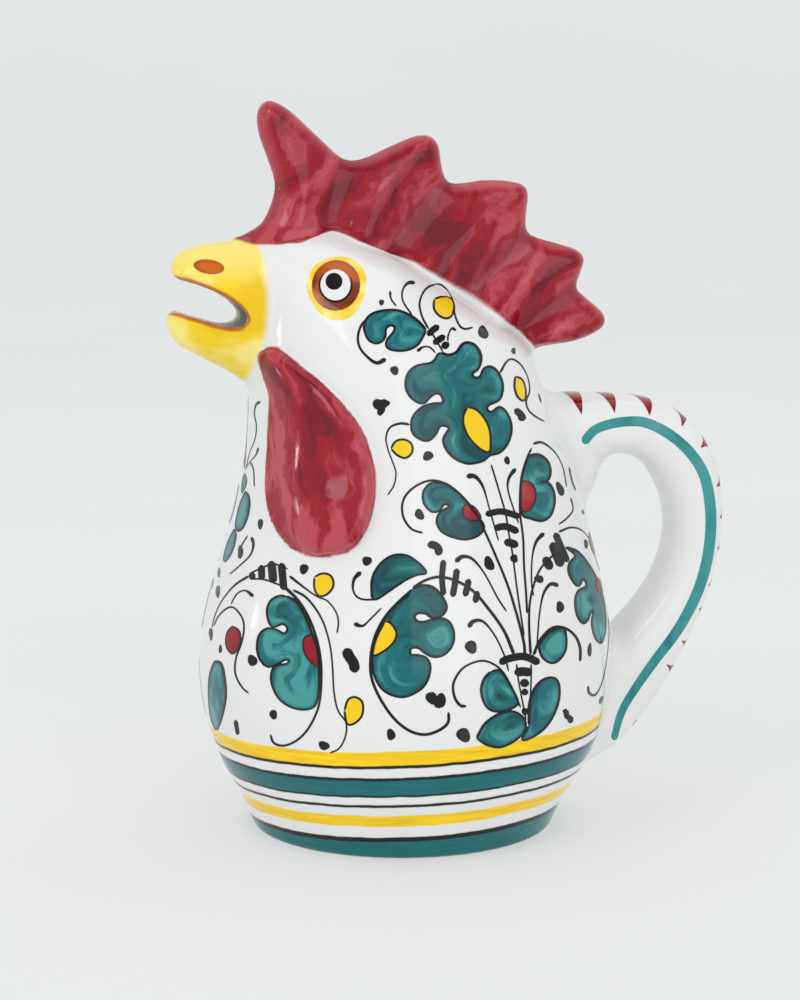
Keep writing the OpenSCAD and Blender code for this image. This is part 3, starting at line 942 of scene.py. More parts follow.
# The wheel-drawn rings round the foot, from the lowest up: the height in mm
# where each colour ends, measured square to the leaning axis
RING_LEAN_X = -0.0357
RING_LEAN_Y = 0.0304
RING_TOP = 44.0
RINGS = (
    (5.6, TEAL), (7.3, LINE_BLACK), (11.4, WHITE_GLAZE),
    (15.7, LEMON), (18.9, WHITE_GLAZE), (20.0, LINE_BLACK), (22.8, WHITE_GLAZE),
    (23.6, LINE_BLACK), (29.1, TEAL), (30.2, LINE_BLACK), (33.4, WHITE_GLAZE),
    (34.5, LINE_BLACK), (39.4, LEMON), (RING_TOP, WHITE_GLAZE))
# How soft a ring's edge is, and how unsteady the brush was on the wheel, in mm
RING_SOFT = 0.14
RING_WOBBLE = 1.1
RING_FINE_WOBBLE = 0.4
FOOT_WOBBLE = 0.5
split = add_node(gt, "ShaderNodeSeparateXYZ")
wire(gt, spot, split.inputs[0])
foot_line = maths(gt, "ADD", maths(gt, "MULTIPLY", split.outputs["Z"], TO_MM),
                  maths(gt, "MULTIPLY", fine_wobble, FOOT_WOBBLE))
bare_foot = spread(gt, foot_line, 0.3, 0.7, 1.0, 0.0)
level = maths(gt, "ADD", split.outputs["Z"],
              maths(gt, "MULTIPLY", split.outputs["X"], RING_LEAN_X))
level = maths(gt, "ADD", level, maths(gt, "MULTIPLY", split.outputs["Y"], RING_LEAN_Y))
level = maths(gt, "MULTIPLY", level, TO_MM)
level = maths(gt, "ADD", level, maths(gt, "MULTIPLY", wobble, RING_WOBBLE))
level = maths(gt, "ADD", level, maths(gt, "MULTIPLY", fine_wobble, RING_FINE_WOBBLE))
rings = add_node(gt, "ShaderNodeValToRGB")
wire(gt, maths(gt, "DIVIDE", level, RING_TOP), rings.inputs[0])
stops = rings.color_ramp.elements
stops[0].position = 0.0
stops[0].color = RINGS[0][1]
stops[1].position = 1.0
stops[1].color = RINGS[-1][1]
for (height, colour), (top, above) in zip(RINGS[:-1], RINGS[1:]):
    stops.new((height - RING_SOFT) / RING_TOP).color = colour
    stops.new((height + RING_SOFT) / RING_TOP).color = above
ring_streaks = cloud(gt, scaled_place(gt, spot, 60.0, 60.0, 900.0), 1.0, 4.0)
ring_colour = add_node(gt, "ShaderNodeHueSaturation")
wire(gt, rings.outputs["Color"], ring_colour.inputs["Color"])
wire(gt, spread(gt, ring_streaks, 0.30, 0.72, 0.88, 1.14), ring_colour.inputs["Value"])
is_white = add_node(gt, "ShaderNodeSeparateColor", mode="HSV")
wire(gt, rings.outputs["Color"], is_white.inputs[0])
tinted = spread(gt, is_white.outputs[1], 0.08, 0.3)
base_colour = blend_colour(gt, tinted, rings.outputs["Color"], ring_colour.outputs[0])
strap_line = maths(gt, "ADD", mark(gt, "strap_edge"), maths(gt, "MULTIPLY", wobble, 2.0))
lower_rings = spread(gt, level, 10.0, 12.0)
on_strap = maths(gt, "MULTIPLY", spread(gt, strap_line, 4.4, 5.0, 1.0, 0.0), lower_rings)
base_colour = blend_colour(gt, on_strap, base_colour, WHITE_GLAZE)

# Crimson comb and wattles, gold beak and the rust line round the mouth. STREAK is
# how strong the brush's streaks are, THINNESS how thin the paint lies, and HAIR how
# strong the hairs' marks are. A WOBBLE is in mm, and the bump's height in metres.
CRIMSON_STREAK = 2.8
CRIMSON_THINNESS = 0.62
CRIMSON_HAIR = 0.6
# How pale the comb's rims get: partly thinner paint and partly a painted highlight
CREST_RIM_HIGHLIGHT_SHARE = 0.65
# How dark the comb's hollows get: painted shade, with some pooled paint
CREASE_SHADE_SHARE = 0.55
GOLD_STREAK = 2.6
GOLD_THINNESS = 0.49
# Heights in mm over which the beak's top turns paler, and how far: a painted highlight
BEAK_HIGHLIGHT_LOW = 187.0
BEAK_HIGHLIGHT_HIGH = 198.0
BEAK_HIGHLIGHT_SHARE = 0.75
RUST_SHARE = 0.85
CREST_WOBBLE = 4.0
CREASE_WOBBLE = 6.0
GOLD_WOBBLE = 3.0
LIP_WOBBLE = 0.5
RED_WOBBLE = 1.3
RED_FINE_WOBBLE = 0.25
BUMP_SHARE = 0.35
BUMP_HEIGHT = 0.0009
straight_place = scaled_place(gt, brush_place, 0.05, 0.13, 1.0)
stroke_bend = add_node(gt, "ShaderNodeCombineXYZ")
wire(gt, maths(gt, "MULTIPLY", fine_wobble, 0.7), stroke_bend.inputs[0])
wire(gt, maths(gt, "MULTIPLY", wobble, 2.6), stroke_bend.inputs[1])
bent_strokes = add_node(gt, "ShaderNodeVectorMath", operation="ADD")
wire(gt, straight_place, bent_strokes.inputs[0])
wire(gt, stroke_bend.outputs[0], bent_strokes.inputs[1])
red_place = bent_strokes.outputs[0]
crimson, crimson_load = brush_colour(gt, red_place, CRIMSON_STREAK, CRIMSON_THINNESS,
                                     CRIMSON_DARK, CRIMSON, CRIMSON_THIN, CRIMSON_HAIR)
# The comb's rims are paler: partly thinner paint there, and partly a painted highlight along
# them.
crest_line = maths(gt, "ADD", mark(gt, "crest_edge"),
                   maths(gt, "MULTIPLY", wobble, CREST_WOBBLE))
rim_highlight_and_thin_paint = spread(gt, crest_line, -4.5, -0.5, 0.0, CREST_RIM_HIGHLIGHT_SHARE)
crimson = blend_colour(gt, rim_highlight_and_thin_paint, crimson, CRIMSON_THIN)
# The comb's hollows are darker: painted shade in the creases, with some paint pooled there
# too.
crease_shade_line = maths(gt, "ADD", mark(gt, "crease"), maths(gt, "MULTIPLY", wobble, CREASE_WOBBLE))
crease_painted_shade = spread(gt, crease_shade_line, 0.5, 6.0, CREASE_SHADE_SHARE, 0.0)
crimson = blend_colour(gt, crease_painted_shade, crimson, CRIMSON_DARK)
gold_place = scaled_place(gt, spot, 45.0, 45.0, 90.0)
gold = brush_colour(gt, gold_place, GOLD_STREAK, GOLD_THINNESS,
                    GOLD_DEEP, GOLD, GOLD_THIN)[0]
# A painted highlight: the beak's gold turns paler from about 187 mm upward.
beak_top_highlight = spread(gt, maths(gt, "MULTIPLY", split.outputs["Z"], TO_MM),
                  BEAK_HIGHLIGHT_LOW, BEAK_HIGHLIGHT_HIGH, 0.0, BEAK_HIGHLIGHT_SHARE)
gold = blend_colour(gt, beak_top_highlight, gold, GOLD_THIN)
gold_line = maths(gt, "ADD", mark(gt, "gold_edge"),
                  maths(gt, "MULTIPLY", wobble, GOLD_WOBBLE))
base_colour = blend_colour(gt, spread(gt, gold_line, -2.4, 0.7, 1.0, 0.0), base_colour, gold)
base_colour = blend_colour(gt, mark(gt, "hollow"), base_colour, WHITE_GLAZE)
lip_line = maths(gt, "ADD", mark(gt, "lip_edge"),
                 maths(gt, "MULTIPLY", fine_wobble, LIP_WOBBLE))
rust_share = spread(gt, lip_line, 0.1, 0.8, RUST_SHARE, 0.0)
base_colour = blend_colour(gt, rust_share, base_colour, RUST)
red_line = maths(gt, "ADD", mark(gt, "red_edge"), maths(gt, "MULTIPLY", wobble, RED_WOBBLE))
red_line = maths(gt, "ADD", red_line, maths(gt, "MULTIPLY", fine_wobble, RED_FINE_WOBBLE))
red_share = spread(gt, red_line, -0.35, 0.35, 1.0, 0.0)
base_colour = blend_colour(gt, red_share, base_colour, crimson)
base_colour = blend_colour(gt, bare_foot, base_colour, BARE_CLAY)
wire(gt, base_colour, coat.inputs["Base Color"])
unevenness = spread(gt, cloud(gt, spot, 34.0, 3.0), 0.3, 0.7, 0.07, 0.13)
bare_rough = maths(gt, "MULTIPLY", bare_foot, 0.6)
wire(gt, maths(gt, "ADD", unevenness, bare_rough), coat.inputs["Roughness"])
coat.inputs["IOR"].default_value = GLAZE_IOR
coat.inputs["Specular IOR Level"].default_value = GLOSS
hand = maths(gt, "MULTIPLY", cloud(gt, spot, 42.0, 2.0), 1.0)
ripple = maths(gt, "MULTIPLY", crimson_load, maths(gt, "MULTIPLY", red_share, 0.10))
height = add_node(gt, "ShaderNodeBump")
height.inputs["Strength"].default_value = BUMP_SHARE
height.inputs["Distance"].default_value = BUMP_HEIGHT
wire(gt, maths(gt, "ADD", hand, ripple), height.inputs["Height"])
wire(gt, height.outputs["Normal"], coat.inputs["Normal"])


TO_METRES = 0.001


def skin_piece(name, faces):
    """One luted piece: its part of the skin, with a thickness into the clay."""
    used, flat = np.unique(faces, return_inverse=True)
    faces = flat.reshape(faces.shape)
    count = len(used)
    outer = skin_points[used]
    normal = skin_normals[used]
    inner = outer - SKIN_DEPTH * normal
    sides = np.stack([faces, np.roll(faces, -1, axis=1)], axis=2).reshape(-1, 2)
    lined = set(map(tuple, sides.tolist()))
    rim = [(b, a, a + count, b + count) for a, b in lined if (b, a) not in lined]
    back = faces[:, ::-1] + count
    mesh = bpy.data.meshes.new(name)
    points = np.concatenate([outer, inner]) * TO_METRES
    mesh.from_pydata(points.tolist(), [], faces.tolist() + back.tolist() + rim)
    mesh.polygons.foreach_set("use_smooth", [True] * len(mesh.polygons))
    for key, values in skin_marks.items():
        layer = mesh.attributes.new(key, "FLOAT", "POINT")
        layer.data.foreach_set("value", np.tile(values[used], 2).astype(np.float32))
    mesh.normals_split_custom_set_from_vertices(np.concatenate([normal, -normal]).tolist())
    mesh.materials.append(glaze)
    piece = bpy.data.objects.new(name, mesh)
    bpy.context.scene.collection.objects.link(piece)
    return piece


# The body is two sheets of clay, its outer wall and its inside
quad_middles = skin_points[skin_quads].mean(axis=1)
quad_parts = piece_numbers(quad_middles)
quad_inside = body_gap(*quad_middles.T) < -WALL / 2
for number, node_name in enumerate(PIECE_NODES):
    own = quad_parts == number
    sheets = {"_clay": own}
    if node_name == "body":
        sheets = {"_clay": own & ~quad_inside, "_inside_clay": own & quad_inside}
    for ending, chosen in sheets.items():
        piece = skin_piece(node_name + ending, skin_quads[chosen])
        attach(piece, "root")
        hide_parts(node_name)

# Camera: about level with the comb's tip, a little to the front of square on.
# Distances are in metres, and the lens and the film in mm.
CAMERA_TURN = math.radians(12.0)
CAMERA_AWAY = 0.870
CAMERA_UP = 0.240
AIM_UP = 0.11309
AIM_SIDE = -0.000705
LENS = 91.39
FILM = 36.0
IMAGE_WIDE = 800
IMAGE_HIGH = 1000
sideways = mathutils.Vector((math.cos(CAMERA_TURN), -math.sin(CAMERA_TURN), 0)) * AIM_SIDE
camera_place = mathutils.Vector((-math.sin(CAMERA_TURN) * CAMERA_AWAY,
                                 -math.cos(CAMERA_TURN) * CAMERA_AWAY, CAMERA_UP)) + sideways
camera_aim = mathutils.Vector((0, 0, AIM_UP)) + sideways
camera_data = bpy.data.cameras.new("camera")
camera_data.sensor_fit = "VERTICAL"
camera_data.sensor_height = FILM
camera_data.lens = LENS
camera = bpy.data.objects.new("camera", camera_data)
camera.location = camera_place
camera.rotation_euler = (camera_aim - camera_place).to_track_quat("-Z", "Y").to_euler()
bpy.context.scene.collection.objects.link(camera)
bpy.context.scene.camera = camera

# Brushwork: leaves, berries and scrolls painted freehand over the white glaze, in the
# foliage style of majolica jugs. A stroke is given by places in the photograph, which
# are carried onto the clay as a thin closed film and mirrored to the far side.
FILM_SINK = 0.25
INWARD_STEP = 0.5
INWARD_MOST = 80
BODY_MIDDLE = (400, 540)
# Size of a pixel at the jug, and how much wider a stroke may grow where the clay
# turns away from the camera
MM_PER_PIXEL = 0.343
STROKE_STRETCH = 1.8
clay_tree = mathutils.bvhtree.BVHTree.FromPolygons(skin_points.tolist(), skin_quads.tolist())
view_turn = camera.rotation_euler.to_matrix()
view_from = camera_place * TO_MM
FOCAL = LENS / FILM * IMAGE_HIGH


def onto_clay(marks, middle):
    """Places on the near side of the clay behind points of the photograph. A point
    that misses the clay is moved towards the middle until it meets it."""
    found = []
    for across, down in marks:
        inward = math.hypot(middle[0] - across, middle[1] - down) + 1e-6
        for step in range(INWARD_MOST):
            ray = mathutils.Vector((across - IMAGE_WIDE / 2, IMAGE_HIGH / 2 - down, -FOCAL))
            hit = clay_tree.ray_cast(view_from, (view_turn @ ray).normalized())[0]
            if hit:
                break
            across += INWARD_STEP * (middle[0] - across) / inward
            down += INWARD_STEP * (middle[1] - down) / inward
        found.append(tuple(hit))
    return settle(np.array(found), 1)


def drop_folds(patch):
    """Take out the flat pairs of faces that halving an edge can leave on its line."""
    patch.verts.index_update()
    sharing = {}
    for face in patch.faces:
        sharing.setdefault(frozenset(corner.index for corner in face.verts), []).append(face)
    folds = [face for same in sharing.values() if len(same) > 1 for face in same]
    bmesh.ops.delete(patch, geom=folds, context="FACES")


def fine_patch(places, faces, rim, longest):
    """The patch with its long edges halved, so that it follows the clay."""
    patch = bmesh.new()
    depth = patch.verts.layers.float.new("rim")
    for place, value in zip(places.tolist(), rim):
        patch.verts.new(place)[depth] = value
    patch.verts.ensure_lookup_table()
    for face in faces:
        patch.faces.new([patch.verts[i] for i in face])
    bmesh.ops.triangulate(patch, faces=patch.faces)
    for turn in range(4):
        long_edges = [edge for edge in patch.edges if edge.calc_length() > longest]
        if not long_edges:
            break
        bmesh.ops.subdivide_edges(patch, edges=long_edges, cuts=1)
        bmesh.ops.triangulate(patch, faces=patch.faces)
        drop_folds(patch)
    patch.verts.index_update()
    places = settle(np.array([tuple(corner.co) for corner in patch.verts]), 2)
    rim = np.array([corner[depth] for corner in patch.verts])
    faces = [[corner.index for corner in face.verts] for face in patch.faces]
    patch.free()
    return places, faces, rim


class Film:
    """One colour's strokes, gathered into a single closed mesh."""

    def __init__(self, longest=1.6, middle=BODY_MIDDLE):
        self.longest = longest
        self.middle = middle
        self.points = []
        self.normals = []
        self.rims = []
        self.faces = []
        self.count = 0

    def lay(self, places, faces, rim, lift, mirrored=True):
        """A patch settled on the clay and given a thickness, with its mirror image."""
        places, faces, rim = fine_patch(places, faces, rim, self.longest)
        slope = clay_slope(places)
        normal = slope / np.linalg.norm(slope, axis=1)[:, None]
        faces = np.array(faces)
        turned = np.cross(places[faces[:, 1]] - places[faces[:, 0]],
                          places[faces[:, 2]] - places[faces[:, 0]])
        if (turned * normal[faces[:, 0]]).sum() < 0:
            faces = faces[:, ::-1]
        for side in (1, -1):
            flip = np.array([1, side, 1])
            top = (places + lift * normal) * flip
            under = (places - FILM_SINK * normal) * flip
            upper = faces if side > 0 else faces[:, ::-1]
            edges = np.stack([upper, np.roll(upper, -1, axis=1)], axis=2).reshape(-1, 2)
            pairs = set(map(tuple, edges.tolist()))
            half = len(places)
            walls = [(b, a, a + half, b + half) for a, b in pairs if (b, a) not in pairs]
            self.points += [top, under]
            self.normals += [normal * flip, -normal * flip]
            self.rims += [rim, rim]
            whole = upper.tolist() + (upper[:, ::-1] + half).tolist() + walls
            self.faces += [[corner + self.count for corner in face] for face in whole]
            self.count += 2 * half
            if not mirrored:
                break

    def fill(self, outline, lift, smooth=3, grid=4.0, mirrored=True):
        """A filled leaf or berry inside a closed outline."""
        line = smooth_line(outline, True, smooth)
        low = line.min(axis=0)
        high = line.max(axis=0)
        gx, gy = np.meshgrid(np.arange(low[0] + 1, high[0], grid),
                             np.arange(low[1] + 1, high[1], grid))
        gap = line_gap(gx, gy, line, True)
        inner = np.stack([gx[gap < -1.6], gy[gap < -1.6]], axis=1)
        flat = [mathutils.Vector(point) for point in np.concatenate([line, inner]).tolist()]
        ring = [list(range(len(line)))]
        made = mathutils.geometry.delaunay_2d_cdt(flat, [], ring, 1, 1e-4)
        marks = np.array([tuple(point) for point in made[0]])
        rim = -line_gap(marks[:, 0], marks[:, 1], line, True)
        places = onto_clay(marks, self.middle)
        mirrored = mirrored and places[:, 1].max() < -1
        self.lay(places, made[2], rim, lift, mirrored)

    def stroke(self, marks, start, end, lift, body=None, mirrored=True):
        """A brush line that starts and ends at the given widths."""
        line = smooth_line(marks, False, 6)
        run = np.concatenate([[0], np.cumsum(np.hypot(*np.diff(line, axis=0).T))])
        steps = max(int(run[-1] / 2.2), 4)
        at = np.linspace(0, run[-1], steps + 1)
        line = np.stack([np.interp(at, run, line[:, 0]), np.interp(at, run, line[:, 1])], 1)
        along = np.gradient(line, axis=0)
        along /= np.linalg.norm(along, axis=1)[:, None] + 1e-9
        share = at / run[-1]
        middle = min(start, end) if body is None else body
        width = np.where(share < 0.5, middle + (start - middle) * (1 - 2 * share) ** 2,
                         middle + (end - middle) * (2 * share - 1) ** 2)
        tip = np.minimum(at, run[-1] - at) / (0.5 * width)
        width = width * np.sqrt(np.clip(tip * (2 - np.minimum(tip, 1)), 0.08, 1))
        across = np.stack([-along[:, 1], along[:, 0]], axis=1) * width[:, None] / 2
        rows = np.stack([line - across, line, line + across], axis=1).reshape(-1, 2)
        faces = [(3 * i + j, 3 * i + j + 1, 3 * i + j + 4, 3 * i + j + 3)
                 for i in range(steps) for j in range(2)]
        places = onto_clay(rows, self.middle).reshape(-1, 3, 3)
        spine = places[:, 1:2]
        aside = places - spine
        reach = np.linalg.norm(aside, axis=2, keepdims=True) + 1e-9
        most = STROKE_STRETCH * MM_PER_PIXEL * width[:, None, None] / 2
        places = (spine + aside * np.minimum(1, most / reach)).reshape(-1, 3)
        mirrored = mirrored and places[:, 1].max() < -1
        self.lay(places, faces, np.full(len(rows), 1.0), lift, mirrored)

    def blot(self, middle, wide, high, turn, lift, uneven=0.0):
        """An oval dab of the brush, whose edge may be uneven."""
        angles = np.radians(np.arange(0, 360, 30))
        c = math.cos(math.radians(turn))
        s = math.sin(math.radians(turn))
        bulge = 1 + uneven * np.sin(3 * angles + middle[0])
        bulge += uneven * np.sin(2 * angles + middle[1])
        u = wide / 2 * np.cos(angles) * bulge
        v = high / 2 * np.sin(angles) * bulge
        outline = [(middle[0] + a * c - b * s, middle[1] + a * s + b * c)
                   for a, b in zip(u, v)]
        self.fill(outline, lift, 2, 3.0)

    def finish(self, name, material):
        """The strokes as one piece with its paint."""
        mesh = bpy.data.meshes.new(name)
        points = np.concatenate(self.points)
        mesh.from_pydata((points * TO_METRES).tolist(), [], self.faces)
        mesh.polygons.foreach_set("use_smooth", [True] * len(mesh.polygons))
        layer = mesh.attributes.new("rim", "FLOAT", "POINT")
        layer.data.foreach_set("value", np.concatenate(self.rims).astype(np.float32))
        mesh.normals_split_custom_set_from_vertices(np.concatenate(self.normals).tolist())
        mesh.materials.append(material)
        piece = bpy.data.objects.new(name, mesh)
        bpy.context.scene.collection.objects.link(piece)
        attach(piece, "root")
        return piece


def paint_material(name, dark, full, thin, streak, load, pool):
    """A brushed colour under the clear glaze, darker where it pools at its rim."""
    made = bpy.data.materials.new(name)
    made.use_nodes = True
    tree = made.node_tree
    shader = tree.nodes["Principled BSDF"]
    place = scaled_place(tree, add_node(tree, "ShaderNodeTexCoord").outputs["Object"],
                         105.0, 105.0, 80.0)
    around = add_node(tree, "ShaderNodeVectorMath", operation="ADD")
    wire(tree, place, around.inputs[0])
    ripple = add_node(tree, "ShaderNodeCombineXYZ")
    wire(tree, maths(tree, "MULTIPLY", mark(tree, "rim"), 0.09), ripple.inputs[0])
    wire(tree, ripple.outputs[0], around.inputs[1])
    place = around.outputs[0]
    colour = brush_colour(tree, place, streak, load, dark, full, thin)[0]
    rim = spread(tree, mark(tree, "rim"), 0.0, 4.5, pool, 0.0)
    wire(tree, blend_colour(tree, rim, colour, dark), shader.inputs["Base Color"])
    smear = cloud(tree, place, 0.4, 2.0)
    wire(tree, spread(tree, smear, 0.3, 0.7, 0.08, 0.14), shader.inputs["Roughness"])
    shader.inputs["IOR"].default_value = GLAZE_IOR
    shader.inputs["Specular IOR Level"].default_value = GLOSS
    return made


# How far the films stand off the glaze, in mm, each layer over the one before
FILL_LIFT = 0.05
SEED_LIFT = 0.08
LINE_LIFT = 0.11
# Teal leaves: closed outlines by their places in the photograph
LEAVES = {
    "small heart leaf": (
        (426, 330), (419, 322), (411, 316), (400, 311), (389, 310), (376.5, 312),
        (368, 317), (364, 325), (365, 333), (369, 340.5), (376, 343.5), (382.5, 341),
        (385.5, 336), (386, 329), (390, 325.5), (394.5, 327), (393, 332.5), (387.5, 339),
        (386, 345.5), (390, 349.5), (400, 351), (409.5, 349.5), (417.5, 345), (423, 337)),
    "oak leaf": (
        (441, 352.5), (448, 355), (456, 352.5), (461.5, 345), (467, 342.5), (474.5, 345),
        (480, 352.5), (481, 360.5), (478, 369), (472.5, 373.5), (474.5, 377.5),
        (480, 376.5), (483.5, 369), (490, 366.5), (497, 371), (502, 381), (502.5, 391),
        (499, 400), (489, 405), (487, 409), (491.5, 412), (498.5, 407), (504.5, 410),
        (510, 419.5), (511.5, 430.5), (508, 443), (500, 452.5), (490, 455.5),
        (484, 460.5), (476, 463), (466, 463.5), (454.5, 458.5), (446, 449.5), (443, 440),
        (446, 433), (449, 428.5), (445, 426), (440, 426.5), (436, 434), (430, 440),
        (423, 440.5), (413.5, 434.5), (411, 425), (413.5, 415.5), (422, 407),
        (433, 403.5), (442.5, 402.5), (441, 395.5), (436, 393.5), (430, 397.5),
        (424.5, 403), (417.5, 402.5), (409.5, 396), (405.5, 386.5), (407.5, 374),
        (416, 366), (430, 363), (435.5, 358.5), (437, 355)),
    "upper left flower": (
        (433, 482), (446, 484), (458.5, 493), (466.5, 502), (477, 515.5), (484, 526.5),
        (479, 535), (466.5, 539.5), (452, 537), (441, 531), (436.5, 521.5), (440, 512.5),
        (449, 506.5), (444, 504.5), (439, 511), (431, 511.5), (424, 503.5), (423, 493),
        (427, 486)),
    "upper right flower": (
        (528, 456), (538, 454.5), (547, 460.5), (550.5, 470.5), (548, 480), (541, 482),
        (548, 482.5), (553.5, 491), (554.5, 503), (550.5, 515.5), (542, 521),
        (530, 518.5), (522, 514), (520.5, 493), (522, 476)),
    "lone leaf": (
        (372, 598.5), (372, 579.5), (379, 565.5), (391, 556), (405, 555), (417, 561.5),
        (426.5, 572.5), (417, 575), (405, 580.5), (391, 590), (377.5, 599)),
    "big flower": (
        (412.5, 589), (422, 585.5), (432.5, 587), (441, 595), (446.5, 605.5), (444.5, 613),
        (438, 617.4), (431, 617.4), (426, 613.8), (418, 613.2), (414.5, 617), (418, 621.3),
        (424, 621.8), (430, 620.2), (441, 618.2), (449.5, 622), (454, 633), (452.5, 645),
        (444.5, 654.5), (434, 657), (425.5, 653.5), (418, 648), (411, 648.5),
        (411, 654.5), (418, 655), (426.5, 658), (430.5, 666.5), (428, 679.5),
        (420.5, 689.5), (406.5, 696.5), (394.5, 696), (382.5, 689.5), (375, 677.5),
        (372, 664), (374, 646.5), (379, 628), (387.5, 614), (398, 602)),
    "left flower": (
        (286, 596), (296.5, 602), (305, 615.5), (312, 633), (318, 652), (319, 669),
        (319, 688), (315.5, 705), (305, 709.5), (291, 707), (279, 698.5), (272, 684.5),
        (271.5, 672.5), (276, 665.5), (286, 664), (289.5, 660.5), (284.5, 660),
        (276, 665), (267, 666.5), (259.5, 658.5), (257, 646.5), (259.5, 634.5),
        (267, 628.5), (276, 629.5), (284.5, 633.5), (287.5, 628), (282.5, 624),
        (274, 627), (269, 622.5), (267, 610.5), (270.5, 601), (278.5, 596)),
    "right flower": (
        (565.5, 547), (578, 552), (589, 564.5), (599, 583), (604.5, 603.5), (606, 624),
        (604.5, 636), (601, 643), (595, 638), (591.5, 623.5), (593, 610.5), (590, 613.5),
        (588, 619.5), (583, 623.5), (577, 615.5), (575, 601), (578, 591), (586, 586),
        (583, 579), (579, 586), (574, 583), (568.5, 572.5), (569.5, 562.5), (575, 555.5)),
    "stem leaf": (
        (538, 646), (548, 633), (562.5, 628), (566, 636), (565.5, 650), (558.5, 660.5),
        (550.5, 663), (542, 657)),
    "foot leaf up": (
        (491, 671.5), (484, 679), (481, 691), (485, 704.5), (493, 711), (505.5, 710.5),
        (517.5, 704.5), (515.5, 695), (507.5, 681), (499.5, 670.5)),
    "foot leaf down": (
        (476.5, 738), (485, 723.5), (499.5, 713.5), (513.5, 711.5), (524, 718.5),
        (525, 730), (515.5, 740), (501, 747), (487, 745)),
    "foot leaf right": (
        (529, 725.5), (529, 705.5), (534, 689), (544, 679), (555.5, 678.5), (559.5, 689),
        (557.5, 705.5), (548.5, 723.5), (536, 735), (522, 740)),
    "breast leaf": (
        (245.5, 491), (249.5, 499), (248.5, 513.5), (243.5, 527), (238, 531),
        (235.5, 524), (239.5, 505)),
    "breast leaf above": ((245, 473), (246.5, 481.5), (244, 490), (241.5, 492), (243, 478)),
    "breast leaf below": (
        (234.5, 528.5), (236, 537), (232, 552), (225.5, 561.5), (223.5, 557), (228, 541)),
    "edge leaf": (
        (214.5, 661), (221.5, 664), (225, 679.5), (226, 696.5), (222.5, 715.5),
        (216.5, 730), (210.5, 717), (208.5, 696.5), (209.5, 676))}
# Yellow and crimson seeds and flower hearts
LEMON_SEEDS = (
    ((434, 299.5), (441, 297), (450, 298), (454, 305.5), (452, 315), (447, 318.5),
     (439.5, 316), (434, 309)),
    ((467.5, 407), (476.5, 410), (485, 419.5), (489.5, 430.5), (490.5, 441.5),
     (489, 452), (479.5, 448.5), (469, 437.5), (463.5, 425), (463.5, 415.5)),
    ((515, 376.5), (522, 379.5), (525.5, 389.5), (524.5, 400.5), (518, 397.5),
     (514.5, 388)),
    ((391, 448.5), (395.5, 441.5), (404, 439.5), (411.5, 444), (412, 452.5),
     (405.5, 458), (397, 455)),
    ((385, 621), (391, 623.5), (396.5, 633), (393, 643), (382.5, 652), (373, 655),
     (376, 639.5)),
    ((314.5, 577), (322.5, 573.5), (331, 576), (333.5, 585.5), (327.5, 594),
     (319, 596), (314.5, 588)),
    ((344.5, 710.5), (348, 700), (355, 697), (362.5, 702.5), (362, 715.5),
     (354, 723.5), (347, 723.5)))
RED_SEEDS = (
    ((466.5, 503.5), (475, 507.5), (481, 518.5), (470.5, 520.5), (463.5, 515.5),
     (462.5, 508.5)),
    ((521.5, 481), (529, 482), (535, 489), (535, 501), (529, 510.5), (521, 510.5),
     (520.5, 495)),
    ((313, 634.5), (305, 637), (303, 646.5), (307.5, 658.5), (318.5, 666.5),
     (317, 650), (314.5, 641.5)),
    ((232.5, 626), (239.5, 631), (240.5, 643), (236, 652), (231, 653.5), (226, 645),
     (227, 633)),
    ((596, 576.5), (600.5, 581), (602.5, 595), (598.5, 592), (595.5, 585)),
    ((589.3, 532), (591.8, 541), (594.2, 550), (594.8, 555), (592.3, 551.5),
     (590, 544.5), (588.7, 537)))
